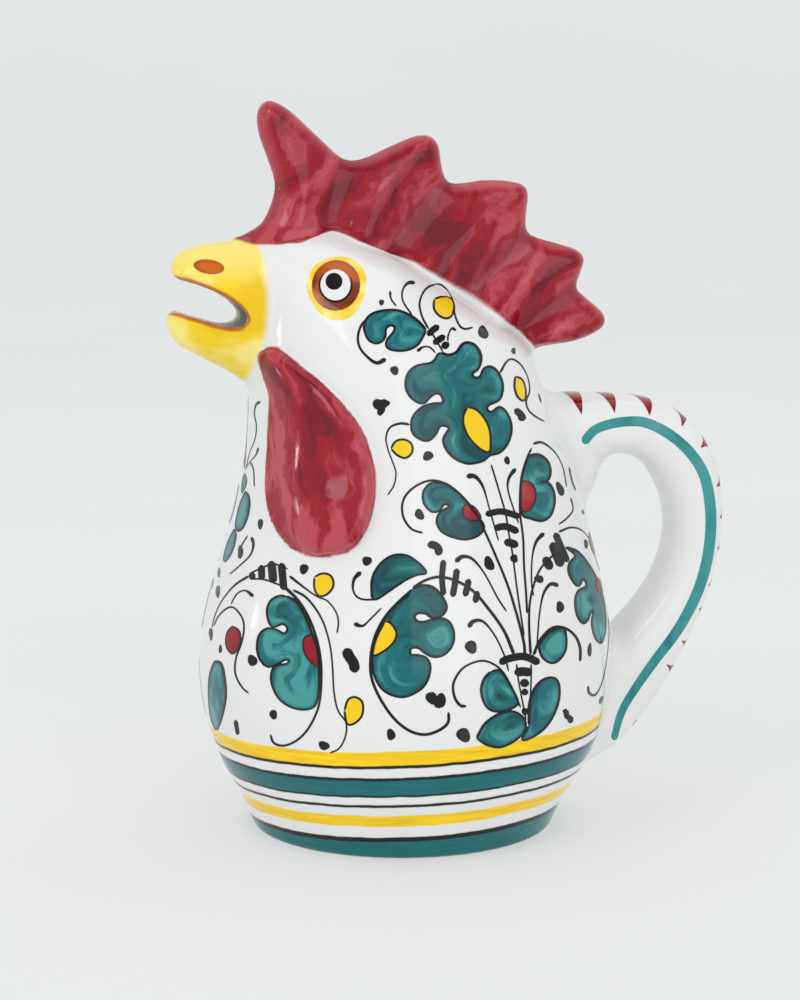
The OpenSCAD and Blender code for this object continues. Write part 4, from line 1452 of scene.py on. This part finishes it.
# Black lines: width at the start and at the end in the photograph's pixels,
# then the places that the brush passes
BLACK_LINES = (
    (4.5, 2.0, ((386, 359), (376.5, 363), (367, 356.5), (359.5, 347), (358, 336),
                (361.5, 325), (367, 319.5))),
    (3.2, 1.2, ((390, 291), (391, 299), (396.5, 306.5))),
    (4.5, 1.2, ((415, 283), (408, 283), (402.5, 290.5), (403, 301.5), (412, 315))),
    (1.5, 1.6, ((428.5, 329), (422, 316.5), (419.5, 303), (424.5, 290.5), (433, 285),
                (441, 285), (449, 292.5), (453.5, 303), (454.5, 314), (459, 325),
                (464.5, 329), (473, 327.5))),
    (6.2, 6.8, ((427.5, 335.5), (433, 330), (439, 326))),
    (6.5, 6.2, ((433.5, 344), (438.5, 340), (445, 336))),
    (7.5, 7.0, ((441.5, 347), (445, 345.5), (449, 343.5))),
    (1.2, 3.8, ((448, 342), (448, 336), (451.5, 328.5), (456, 330.5))),
    (1.2, 4.2, ((435.5, 353), (430, 347.5), (423, 347), (417, 351.5))),
    (1.2, 1.2, ((430, 330), (443, 352))),
    (1.8, 1.2, ((500, 373), (505.5, 363), (511.5, 359), (520.5, 364.5), (527.5, 377),
                (529.5, 391), (526, 401.5), (529, 411), (537, 417.5), (544.5, 421.5))),
    (6.5, 12.0, ((514.5, 409.5), (518, 412), (521.5, 416), (522, 421))),
    (2.5, 2.5, ((538.5, 393.5), (541, 402.5))),
    (2.6, 1.0, ((409.5, 424.5), (400, 423.5), (390, 427.5), (386, 437.5), (388, 449.5),
                (393, 463), (396, 473), (394, 485), (387.5, 495.5))),
    (1.8, 2.4, ((423, 533), (411.5, 529), (403.5, 517.5), (402.5, 503), (409.5, 491),
                (424, 482), (438, 481), (452.5, 488), (466.5, 501), (477, 515.5),
                (485, 532), (495, 554.5), (507.5, 585), (517.5, 617.5), (524, 644),
                (524.5, 656.5))),
    (7.5, 8.5, ((427.5, 545), (434, 545), (438.5, 549), (438, 555.5))),
    (1.6, 1.6, ((531.5, 448), (526, 460.5), (521.5, 476.5), (520, 493), (520, 513.5),
                (523, 538), (524, 566.5), (526, 593), (527, 613.5))),
    (2.6, 1.0, ((533, 444), (542, 442.5), (554.5, 452), (562.5, 466.5), (566.5, 487))),
    (1.2, 1.2, ((491, 464.5), (498.5, 489), (505.5, 513.5), (508.5, 532), (512.5, 554.5),
                (517.5, 593), (524, 636))),
    (5.5, 1.0, ((466.5, 476.5), (475, 476.5), (483, 487), (489, 507.5), (498.5, 541))),
    (4.5, 1.0, ((515.5, 468.5), (508.5, 479), (508.5, 493), (518.5, 523.5))),
    (6.0, 6.0, ((485.5, 514.5), (501.5, 511.5), (520, 517))),
    (6.5, 7.0, ((494, 528.5), (505.5, 526.5), (518.5, 532))),
    (7.5, 7.5, ((504, 542), (511, 543), (518, 546))),
    (4.5, 1.0, ((544, 533), (536, 542), (532, 558.5), (531.5, 583), (533.5, 596))),
    (8.5, 8.5, ((544.5, 557), (551, 569.5))),
    (9.0, 9.0, ((552, 542.5), (556.5, 554), (561.5, 566.5))),
    (6.5, 6.0, ((555, 533), (561, 547), (567.5, 562))),
    (1.6, 2.4, ((566, 548), (556, 553), (542, 566.5), (535, 581), (530, 601),
                (529, 623.5), (530.5, 654.5))),
    (4.2, 1.0, ((558.5, 586), (550.5, 584), (543, 595), (539, 617.5), (537, 644),
                (535, 654.5))),
    (2.2, 1.0, ((558.5, 532), (570.5, 527.5), (581, 530), (589, 539), (595, 556.5),
                (599.5, 570.5))),
    (3.0, 3.0, ((569, 467), (571.5, 479), (575.5, 490.5))),
    (1.8, 1.2, ((570.5, 498), (573, 509.5), (566.5, 518.5), (558.5, 524.5))),
    (1.2, 2.8, ((608, 617.5), (609, 634), (606, 664.5), (601, 685), (595, 695),
                (589, 693), (588, 686))),
    (2.2, 2.4, ((533, 655.5), (540, 640), (552, 628), (564.5, 628), (575, 636),
                (580, 648), (580, 661.5))),
    (7.0, 7.5, ((499.5, 663.5), (507.5, 659), (524, 656.5), (539.5, 663))),
    (8.5, 8.5, ((514.5, 673), (523, 671.5), (532, 673))),
    (8.0, 8.0, ((520, 682.5), (529, 683.5))),
    (7.0, 6.5, ((521.5, 691), (528, 693))),
    (1.3, 1.0, ((516.5, 664), (518.5, 681), (526, 720))),
    (1.3, 1.0, ((531, 664), (531, 681), (529, 724))),
    (1.6, 2.8, ((520.5, 707.5), (511.5, 687), (501.5, 670.5), (489, 662), (477, 661.5),
                (462.5, 668.5), (453.5, 683), (454.5, 697), (460.5, 705.5),
                (466.5, 706))),
    (5.0, 1.2, ((468.5, 627.5), (473, 621.5), (483, 621.5), (495, 636), (504.5, 656),
                (508.5, 671.5))),
    (5.0, 6.5, ((562.5, 711), (566, 711.5), (566.5, 716.5), (570.5, 718), (569.5, 723))),
    (5.0, 1.2, ((455.5, 562), (462.5, 556.5), (473, 559.5), (485, 574.5), (497, 597),
                (506.5, 611.5))),
    (5.8, 5.5, ((443.5, 560), (442, 578), (443.5, 595.5))),
    (6.0, 6.0, ((457, 568.5), (455, 583), (452.5, 597))),
    (6.5, 6.0, ((469, 579), (465, 596.5))),
    (6.0, 6.0, ((477.5, 591), (475, 603))),
    (2.4, 3.0, ((412.5, 588), (426, 580), (440, 577), (456.5, 581), (473, 591),
                (487, 607), (503.5, 630), (514, 654.5))),
    (5.0, 1.5, ((361, 572), (354, 579.5), (353.5, 591.5), (361, 599), (377.5, 599.5))),
    (2.4, 2.4, ((410, 594), (394.5, 606), (382.5, 621), (374, 639.5), (370.5, 660.5),
                (372, 679.5), (381, 700), (394.5, 719), (410, 731), (425.5, 734.5),
                (439.5, 730), (448, 722.5), (448.5, 712))),
    (5.0, 1.2, ((354, 623.5), (362.5, 626), (370.5, 619), (381.5, 608))),
    (11.0, 10.0, ((345.5, 648.5), (349, 656), (353.5, 663), (355.5, 672.5))),
    (2.6, 1.2, ((289.5, 576), (303.5, 587), (317, 596.5), (327.5, 601), (336, 612),
                (338.5, 622.5), (337, 633.5))),
    (2.2, 1.2, ((293, 590), (305, 596.5), (315.5, 608.5), (324, 624), (330, 645),
                (332.5, 665.5), (334, 691.5), (338, 710.5), (346, 722.5), (345.5, 736),
                (339.5, 748), (330, 753))),
    (3.0, 1.8, ((283.5, 586), (296.5, 598.5), (307, 614), (315.5, 634.5), (320.5, 657),
                (321.5, 679.5), (319, 705), (310, 726), (298, 739.5), (284.5, 745.5),
                (274, 743), (270.5, 734.5))),
    (6.0, 6.0, ((252, 572), (252.5, 580))),
    (6.5, 6.5, ((261.5, 565), (262, 580))),
    (8.0, 8.0, ((271.5, 561), (273.5, 583))),
    (7.5, 7.0, ((281.5, 563), (284, 590))),
    (1.3, 1.3, ((250, 573.5), (262, 568), (274, 564), (288, 569))),
    (1.3, 1.3, ((252, 579), (264, 579.5), (284, 586.5))),
    (2.2, 1.2, ((249, 576), (234.5, 585.5), (222.5, 600), (215.5, 614), (212, 628))),
    (4.2, 1.0, ((253.5, 596.5), (245.5, 590.5), (237, 594), (231, 604.5))),
    (1.3, 1.3, ((214, 626), (219, 615.5), (230, 607), (238.5, 612), (244, 624),
                (242, 641.5), (236, 658.5), (235.5, 674), (242, 687), (249, 693.5))),
    (5.0, 4.0, ((235.5, 720), (238, 735))),
    (2.6, 1.0, ((260.5, 401.5), (256, 405), (254.5, 414), (256.5, 426), (255, 439),
                (249.5, 453.5), (245.5, 470))),
    (3.0, 1.0, ((258.5, 447.5), (256, 455), (249.5, 462.5), (246, 468.5))),
    (2.0, 1.0, ((250, 461.5), (253.5, 469.5), (254.5, 487))),
    (3.6, 1.0, ((251.5, 537), (253.5, 544.5), (250.5, 555), (240.5, 565), (229.5, 574.5))),
    (1.2, 2.4, ((248, 535.5), (242, 545), (240.5, 553))))
# Black dabs: place, width, height and turn in degrees
BLACK_DABS = (
    ((381.5, 302.5), 5, 6, 30), ((483, 332.5), 10, 13, -15), ((513.5, 351), 4.5, 6, 0),
    ((394.5, 370.5), 9, 8.5, 20), ((379.5, 404.5), 14, 11, 20), ((385, 403), 9, 8, 0),
    ((381, 411), 7, 10, 25),
    ((428, 456), 11, 9, -10), ((507, 460.5), 5, 9, -15), ((419.5, 514.5), 9, 11, -20),
    ((489, 563.5), 10, 14, -25), ((514, 558.5), 8, 8, 0), ((539, 579), 9, 8, 10),
    ((586, 544), 4, 9, -10), ((560, 489), 7, 14, -20), ((583, 512), 2.5, 5, -20),
    ((560, 607), 8, 11, -10), ((589.5, 650), 4, 14, 0), ((524.8, 711.5), 6, 8, 0),
    ((471, 647), 13, 12, 30), ((431.5, 698), 11, 13, 0),
    ((440, 701), 12, 15, 10), ((463.5, 735), 14, 14, 0),
    ((601, 700), 3, 9, 15), ((367, 561), 9, 10, 0), ((220.5, 649), 3, 9, 0),
    ((252.5, 660.5), 9, 12, -10), ((273.5, 714.5), 8, 9, -15), ((324, 745.5), 12, 8, 30),
    ((304, 569), 9, 10, 0), ((391, 734.5), 9, 11, 0), ((211, 634), 4, 12, 0),
    ((260.5, 524), 5, 11, 0), ((240.5, 552), 5.5, 13, 5), ((219, 572.5), 2.5, 10, 5),
    ((218, 591.5), 4, 13, 5))
# Widths of the lines round the leaves and the crimson seeds, and how much wider
# than measured the other lines are drawn, in the photograph's pixels
LEAF_LINE = 2.2
LEAF_LINE_START = LEAF_LINE * 1.3
RED_SEED_LINE = 1.3
LINE_MORE = 0.45
DAB_UNEVEN = 0.08

teal_paint = paint_material("teal brushwork", TEAL_DARK, TEAL, TEAL_THIN, 2.8, 0.56, 0.6)
lemon_paint = paint_material("lemon brushwork", GOLD_DEEP, LEMON, LEMON, 1.0, 0.5, 0.35)
red_paint = paint_material("crimson brushwork", CRIMSON_DARK, CRIMSON, CRIMSON_THIN,
                           1.6, 0.5, 0.5)
line_paint = paint_material("black brushwork", LINE_BLACK, LINE_BLACK,
                            fired(52, 52, 56), 1.6, 0.45, 0.0)
leaves = Film()
lines = Film()
for outline in LEAVES.values():
    leaves.fill(outline, FILL_LIFT)
    lines.stroke(outline + outline[:1], LEAF_LINE_START, LEAF_LINE, LINE_LIFT, LEAF_LINE)
lemons = Film()
for outline in LEMON_SEEDS:
    lemons.fill(outline, SEED_LIFT)
    lines.stroke(outline + outline[:1], LEAF_LINE, LEAF_LINE, LINE_LIFT)
reds = Film()
for outline in RED_SEEDS:
    reds.fill(outline, SEED_LIFT)
    lines.stroke(outline + outline[:1], RED_SEED_LINE, RED_SEED_LINE, LINE_LIFT)
for start, end, marks in BLACK_LINES:
    lines.stroke(marks, start + LINE_MORE, end + LINE_MORE, LINE_LIFT)
for middle, wide, high, turn in BLACK_DABS:
    lines.blot(middle, wide, high, turn, LINE_LIFT, DAB_UNEVEN)
leaves.finish("teal_leaves", teal_paint)
lemons.finish("lemon_seeds", lemon_paint)
reds.finish("crimson_seeds", red_paint)
lines.finish("black_lines", line_paint)

# Eye and nostril: a yellow wash with a rust ring and a black pupil brushed on
# each cheek, and a rust dab on each side of the beak.
EYE = (336.0, 285.5)
EYE_WASH = (337.0, 287.5)
EYE_WHITE = (335.5, 285.0)
PUPIL = (334.0, 281.5)
NOSTRIL = (209.0, 266.8)
RIM_LINE = ((324, 273.5), (319.5, 282), (321, 292), (327.5, 299.5), (337, 302),
            (346.5, 297.5), (351.5, 288), (350.5, 277))
EYE_WHITE_LIFT = SEED_LIFT + 0.03
PUPIL_LIFT = SEED_LIFT + 0.06
eye_wash = Film()
eye_wash.blot(EYE_WASH, 62, 62, 8, FILL_LIFT, 0.045)
wash_paint = paint_material("eye wash", GOLD_THIN, LEMON, GOLD_THIN, 2.0, 0.60, 0.0)
eye_wash.finish("eye_wash", wash_paint)
eye_ring = Film()
eye_ring.blot(EYE, 48.5, 51, 15, SEED_LIFT)
eye_ring.blot(NOSTRIL, 31, 14.5, 8, FILL_LIFT)
rust_paint = paint_material("rust brushwork", fired(120, 44, 10), RUST,
                            fired(206, 104, 24), 2.2, 0.5, 0.3)
eye_ring.finish("eye_rings", rust_paint)
eye_white = Film()
eye_white.blot(EYE_WHITE, 30, 31, 0, EYE_WHITE_LIFT)
white_paint = paint_material("eye white", WHITE_GLAZE, WHITE_GLAZE, WHITE_GLAZE,
                             1.0, 0.5, 0.0)
eye_white.finish("eye_whites", white_paint)
pupil = Film()
pupil.blot(PUPIL, 17, 17, 0, PUPIL_LIFT)
pupil.stroke(RIM_LINE, 1.2, 1.2, PUPIL_LIFT, 2.0)
pupil.finish("eye_pupils", line_paint)

# Handle paint: a broad teal line brushed down each side, and crimson dabs across
# the strap's back. The dabs repeat at one pitch along its spine, each bent round
# the strap and leaning a little by hand, with the first ones wider.
HANDLE_LINE = (
    (583.5, 443.5), (589, 435.5), (597.5, 428.5), (615, 423), (639.5, 421.5), (659.5, 428.5),
    (679.5, 442), (695.5, 459.5), (705.5, 479.5), (710.5, 509.5), (710, 539), (705, 569),
    (694.5, 599), (677, 631), (654.5, 661), (637, 686), (622, 711), (613.5, 740))
HANDLE_MIDDLE = (640, 540)
STRAP_FINE = 0.9
handle_line = Film(STRAP_FINE, HANDLE_MIDDLE)
handle_line.stroke(HANDLE_LINE, 9.0, 6.5, FILL_LIFT, 11.0)
strap_paint = paint_material("thin teal brushwork", TEAL, fired(52, 142, 144), TEAL_THIN,
                             2.0, 0.55, 0.0)
handle_line.finish("handle_line", strap_paint)
DAB_FIRST = 8.7
DAB_PITCH = 10.6
DAB_COUNT = 14
DAB_HALF = 2.6
DAB_ROUND = math.radians(60.0)
WIDE_DABS = 3
NARROW_DAB = 0.77
DAB_LEAN = math.radians(9.0)
DAB_SEED = 7
DAB_COLUMNS = 21
DAB_ROWS = 4
DAB_RIM = 1.5


def dab_number(name, kind, value):
    """A named input of the dabs' tree with its value."""
    made = dab_tree.interface.new_socket(name, in_out="INPUT", socket_type=kind)
    dab_values[made.identifier] = value


dab_tree = bpy.data.node_groups.new("crimson dabs along the strap", "GeometryNodeTree")
dab_values = {}
dab_tree.interface.new_socket("Spine", in_out="INPUT", socket_type="NodeSocketGeometry")
dab_number("First Dab", "NodeSocketFloat", DAB_FIRST)
dab_number("Last Dab", "NodeSocketFloat", DAB_FIRST + DAB_PITCH * (DAB_COUNT - 1))
dab_number("Number of Dabs", "NodeSocketInt", DAB_COUNT)
dab_number("Half Length", "NodeSocketFloat", DAB_HALF)
dab_number("Reach Round", "NodeSocketFloat", DAB_ROUND)
dab_number("Strap Half Width", "NodeSocketFloat", HANDLE_W / 2)
dab_number("Strap Half Thickness", "NodeSocketFloat", HANDLE_T / 2)
dab_number("Wide Dabs", "NodeSocketInt", WIDE_DABS)
dab_number("Narrower", "NodeSocketFloat", NARROW_DAB)
dab_number("Lean", "NodeSocketFloat", DAB_LEAN)
dab_number("Seed", "NodeSocketInt", DAB_SEED)
dab_number("Paint", "NodeSocketMaterial", red_paint)
dab_tree.interface.new_socket("Dabs", in_out="OUTPUT", socket_type="NodeSocketGeometry")
given = add_node(dab_tree, "NodeGroupInput").outputs
# One dab: a grid bent round the strap's back and narrowed towards its two tips
grid = add_node(dab_tree, "GeometryNodeMeshGrid")
grid.inputs["Size X"].default_value = 2.0
grid.inputs["Size Y"].default_value = 2.0
grid.inputs["Vertices X"].default_value = DAB_COLUMNS
grid.inputs["Vertices Y"].default_value = DAB_ROWS
flat = add_node(dab_tree, "ShaderNodeSeparateXYZ")
wire(dab_tree, add_node(dab_tree, "GeometryNodeInputPosition").outputs[0], flat.inputs[0])
dab_turn = maths(dab_tree, "MULTIPLY", flat.outputs["X"], given["Reach Round"])
to_tip = maths(dab_tree, "SUBTRACT", 1.0, maths(
    dab_tree, "POWER", maths(dab_tree, "ABSOLUTE", flat.outputs["X"]), 2.2))
dab_taper = maths(dab_tree, "MAXIMUM", to_tip, 0.04)
dab_half = maths(dab_tree, "MULTIPLY", given["Half Length"], dab_taper)
bent = add_node(dab_tree, "ShaderNodeCombineXYZ")
wire(dab_tree, maths(dab_tree, "MULTIPLY", maths(dab_tree, "SINE", dab_turn),
                     given["Strap Half Width"]), bent.inputs["X"])
wire(dab_tree, maths(dab_tree, "MULTIPLY", maths(
    dab_tree, "MULTIPLY", maths(dab_tree, "COSINE", dab_turn), -1.0),
    given["Strap Half Thickness"]), bent.inputs["Y"])
wire(dab_tree, maths(dab_tree, "MULTIPLY", flat.outputs["Y"], dab_half), bent.inputs["Z"])
dab_shape = add_node(dab_tree, "GeometryNodeSetPosition")
wire(dab_tree, grid.outputs["Mesh"], dab_shape.inputs["Geometry"])
wire(dab_tree, bent.outputs[0], dab_shape.inputs["Position"])
# The places along the strap, from the first dab to the last
spine_curve = add_node(dab_tree, "GeometryNodeMeshToCurve")
wire(dab_tree, given["Spine"], spine_curve.inputs["Mesh"])
painted = add_node(dab_tree, "GeometryNodeTrimCurve", mode="LENGTH")
wire(dab_tree, spine_curve.outputs["Curve"], painted.inputs["Curve"])
wire(dab_tree, given["First Dab"], painted.inputs[4])
wire(dab_tree, given["Last Dab"], painted.inputs[5])
stations = add_node(dab_tree, "GeometryNodeCurveToPoints", mode="COUNT")
wire(dab_tree, painted.outputs["Curve"], stations.inputs["Curve"])
wire(dab_tree, given["Number of Dabs"], stations.inputs["Count"])
is_wide = add_node(dab_tree, "FunctionNodeCompare", data_type="INT", operation="LESS_THAN")
wire(dab_tree, add_node(dab_tree, "GeometryNodeInputIndex").outputs[0], is_wide.inputs["A"])
wire(dab_tree, given["Wide Dabs"], is_wide.inputs["B"])
reach = add_node(dab_tree, "GeometryNodeSwitch", input_type="FLOAT")
wire(dab_tree, is_wide.outputs[0], reach.inputs["Switch"])
wire(dab_tree, given["Narrower"], reach.inputs["False"])
reach.inputs["True"].default_value = 1.0
dab_size = add_node(dab_tree, "ShaderNodeCombineXYZ")
wire(dab_tree, reach.outputs[0], dab_size.inputs["X"])
dab_size.inputs["Y"].default_value = 1.0
dab_size.inputs["Z"].default_value = 1.0
dabs = add_node(dab_tree, "GeometryNodeInstanceOnPoints")
wire(dab_tree, stations.outputs["Points"], dabs.inputs["Points"])
wire(dab_tree, dab_shape.outputs["Geometry"], dabs.inputs["Instance"])
wire(dab_tree, stations.outputs["Rotation"], dabs.inputs["Rotation"])
wire(dab_tree, dab_size.outputs[0], dabs.inputs["Scale"])
by_hand = add_node(dab_tree, "FunctionNodeRandomValue", data_type="FLOAT")
lean_range = [socket for socket in by_hand.inputs if socket.enabled]
wire(dab_tree, maths(dab_tree, "MULTIPLY", given["Lean"], -1.0), lean_range[0])
wire(dab_tree, given["Lean"], lean_range[1])
wire(dab_tree, given["Seed"], by_hand.inputs["Seed"])
lean_turn = add_node(dab_tree, "ShaderNodeCombineXYZ")
wire(dab_tree, by_hand.outputs[1], lean_turn.inputs["Y"])
leaning = add_node(dab_tree, "GeometryNodeRotateInstances")
wire(dab_tree, dabs.outputs[0], leaning.inputs["Instances"])
wire(dab_tree, lean_turn.outputs[0], leaning.inputs["Rotation"])
whole_dabs = add_node(dab_tree, "GeometryNodeRealizeInstances")
wire(dab_tree, leaning.outputs[0], whole_dabs.inputs[0])
painted_dabs = add_node(dab_tree, "GeometryNodeSetMaterial")
wire(dab_tree, whole_dabs.outputs[0], painted_dabs.inputs["Geometry"])
wire(dab_tree, given["Paint"], painted_dabs.inputs["Material"])
wire(dab_tree, painted_dabs.outputs[0], add_node(dab_tree, "NodeGroupOutput").inputs[0])

spine_places = np.stack([STRAP_X, np.zeros(STRAP_STATIONS), STRAP_Z], axis=1)
spine_mesh = bpy.data.meshes.new("strap_spine")
spine_mesh.from_pydata(spine_places.tolist(),
                       [(i, i + 1) for i in range(STRAP_STATIONS - 1)], [])
spine = bpy.data.objects.new("strap_spine", spine_mesh)
bpy.context.scene.collection.objects.link(spine)
dab_maker = spine.modifiers.new("dabs", "NODES")
dab_maker.node_group = dab_tree
for identifier, value in dab_values.items():
    dab_maker[identifier] = value
view = bpy.context.evaluated_depsgraph_get()
dab_mesh = bpy.data.meshes.new_from_object(spine.evaluated_get(view), depsgraph=view)
spine.modifiers.remove(dab_maker)
bpy.data.objects.remove(spine)
dab_places = np.array([tuple(corner.co) for corner in dab_mesh.vertices])
dab_faces = [tuple(face.vertices) for face in dab_mesh.polygons]
dab_film = Film(STRAP_FINE)
dab_film.lay(settle(dab_places, 5), dab_faces, np.full(len(dab_places), DAB_RIM),
             FILL_LIFT, False)
dab_film.finish("handle_dabs", red_paint)

# Studio: a seamless pale paper sweep under and behind the jug, a soft key light
# from the left and above, a broad low light at the side that is seen, one
# overhead, and a small faint one beyond the beak.
SWEEP_FLAT = 1.9
SWEEP_BEND = 1.4
SWEEP_TOP = 3.2
SWEEP_STEPS = 12
SWEEP_UNDER = 0.0002
sweep_profile = [(0.0, 0.0), (0.6, 0.0), (SWEEP_FLAT, 0.0)]
for step in range(1, SWEEP_STEPS + 1):
    bend = math.radians(90 * step / SWEEP_STEPS)
    sweep_profile.append((SWEEP_FLAT + SWEEP_BEND * math.sin(bend),
                          SWEEP_BEND * (1 - math.cos(bend))))
sweep_profile.append((SWEEP_FLAT + SWEEP_BEND, SWEEP_TOP))
SWEEP_AROUND = 96
sweep_points = [(0.0, 0.0, -SWEEP_UNDER)]
for radius, rise in sweep_profile[1:]:
    for step in range(SWEEP_AROUND):
        turn = math.tau * step / SWEEP_AROUND
        sweep_points.append((radius * math.cos(turn), radius * math.sin(turn),
                             rise - SWEEP_UNDER))
sweep_faces = []
for step in range(SWEEP_AROUND):
    after = (step + 1) % SWEEP_AROUND
    sweep_faces.append((0, 1 + step, 1 + after))
    for ring in range(len(sweep_profile) - 2):
        a = 1 + ring * SWEEP_AROUND
        b = a + SWEEP_AROUND
        sweep_faces.append((a + step, b + step, b + after, a + after))
sweep_mesh = bpy.data.meshes.new("paper_sweep")
sweep_mesh.from_pydata(sweep_points, [], sweep_faces)
sweep_mesh.polygons.foreach_set("use_smooth", [True] * len(sweep_faces))
paper = bpy.data.materials.new("paper sweep")
paper.use_nodes = True
pt = paper.node_tree
paper_shader = pt.nodes["Principled BSDF"]
paper_spot = add_node(pt, "ShaderNodeTexCoord").outputs["Object"]
paper_tone = spread(pt, cloud(pt, paper_spot, 3.0, 2.0), 0.3, 0.7)
wire(pt, blend_colour(pt, paper_tone, fired(156, 158, 157), fired(159, 161, 160)),
     paper_shader.inputs["Base Color"])
paper_height = add_node(pt, "ShaderNodeSeparateXYZ")
wire(pt, paper_spot, paper_height.inputs[0])
paper_rise = spread(pt, paper_height.outputs["Z"], 0.1, 1.6)
wire(pt, blend_colour(pt, paper_rise, fired(219, 221, 221), fired(253, 255, 254)),
     paper_shader.inputs["Emission Color"])
paper_shader.inputs["Emission Strength"].default_value = 0.68
paper_shader.inputs["Roughness"].default_value = 0.85
paper_shader.inputs["Specular IOR Level"].default_value = 0.1
sweep_mesh.materials.append(paper)
sweep = bpy.data.objects.new("paper_sweep", sweep_mesh)
bpy.context.scene.collection.objects.link(sweep)


def soft_light(name, place, aim, width, power):
    """A rectangular area light, in metres and watts, turned to the given place."""
    lamp = bpy.data.lights.new(name, "AREA")
    lamp.shape = "RECTANGLE"
    lamp.size = width[0]
    lamp.size_y = width[1]
    lamp.energy = power
    made = bpy.data.objects.new(name, lamp)
    made.location = place
    look = mathutils.Vector(aim) - mathutils.Vector(place)
    made.rotation_euler = look.to_track_quat("-Z", "Y").to_euler()
    bpy.context.scene.collection.objects.link(made)


soft_light("key_light", (-1.25, -1.05, 1.25), (0, 0, 0.12), (0.7, 0.7), 5.2)
soft_light("window_light", (0.30, -1.90, 0.60), (0, 0, 0.14), (1.3, 1.5), 6.8)
soft_light("top_light", (0.1, 0.3, 1.9), (0, 0, 0.1), (1.6, 1.6), 6.6)
soft_light("side_light", (-1.74, 0.57, 0.30), (0, 0, 0.12), (0.08, 0.10), 0.4)
world = bpy.data.worlds.new("studio")
world.use_nodes = True
world.node_tree.nodes["Background"].inputs["Color"].default_value = (0.97, 0.985, 1.0, 1.0)
world.node_tree.nodes["Background"].inputs["Strength"].default_value = 0.52
bpy.context.scene.world = world
bpy.context.scene.view_settings.view_transform = "Standard"
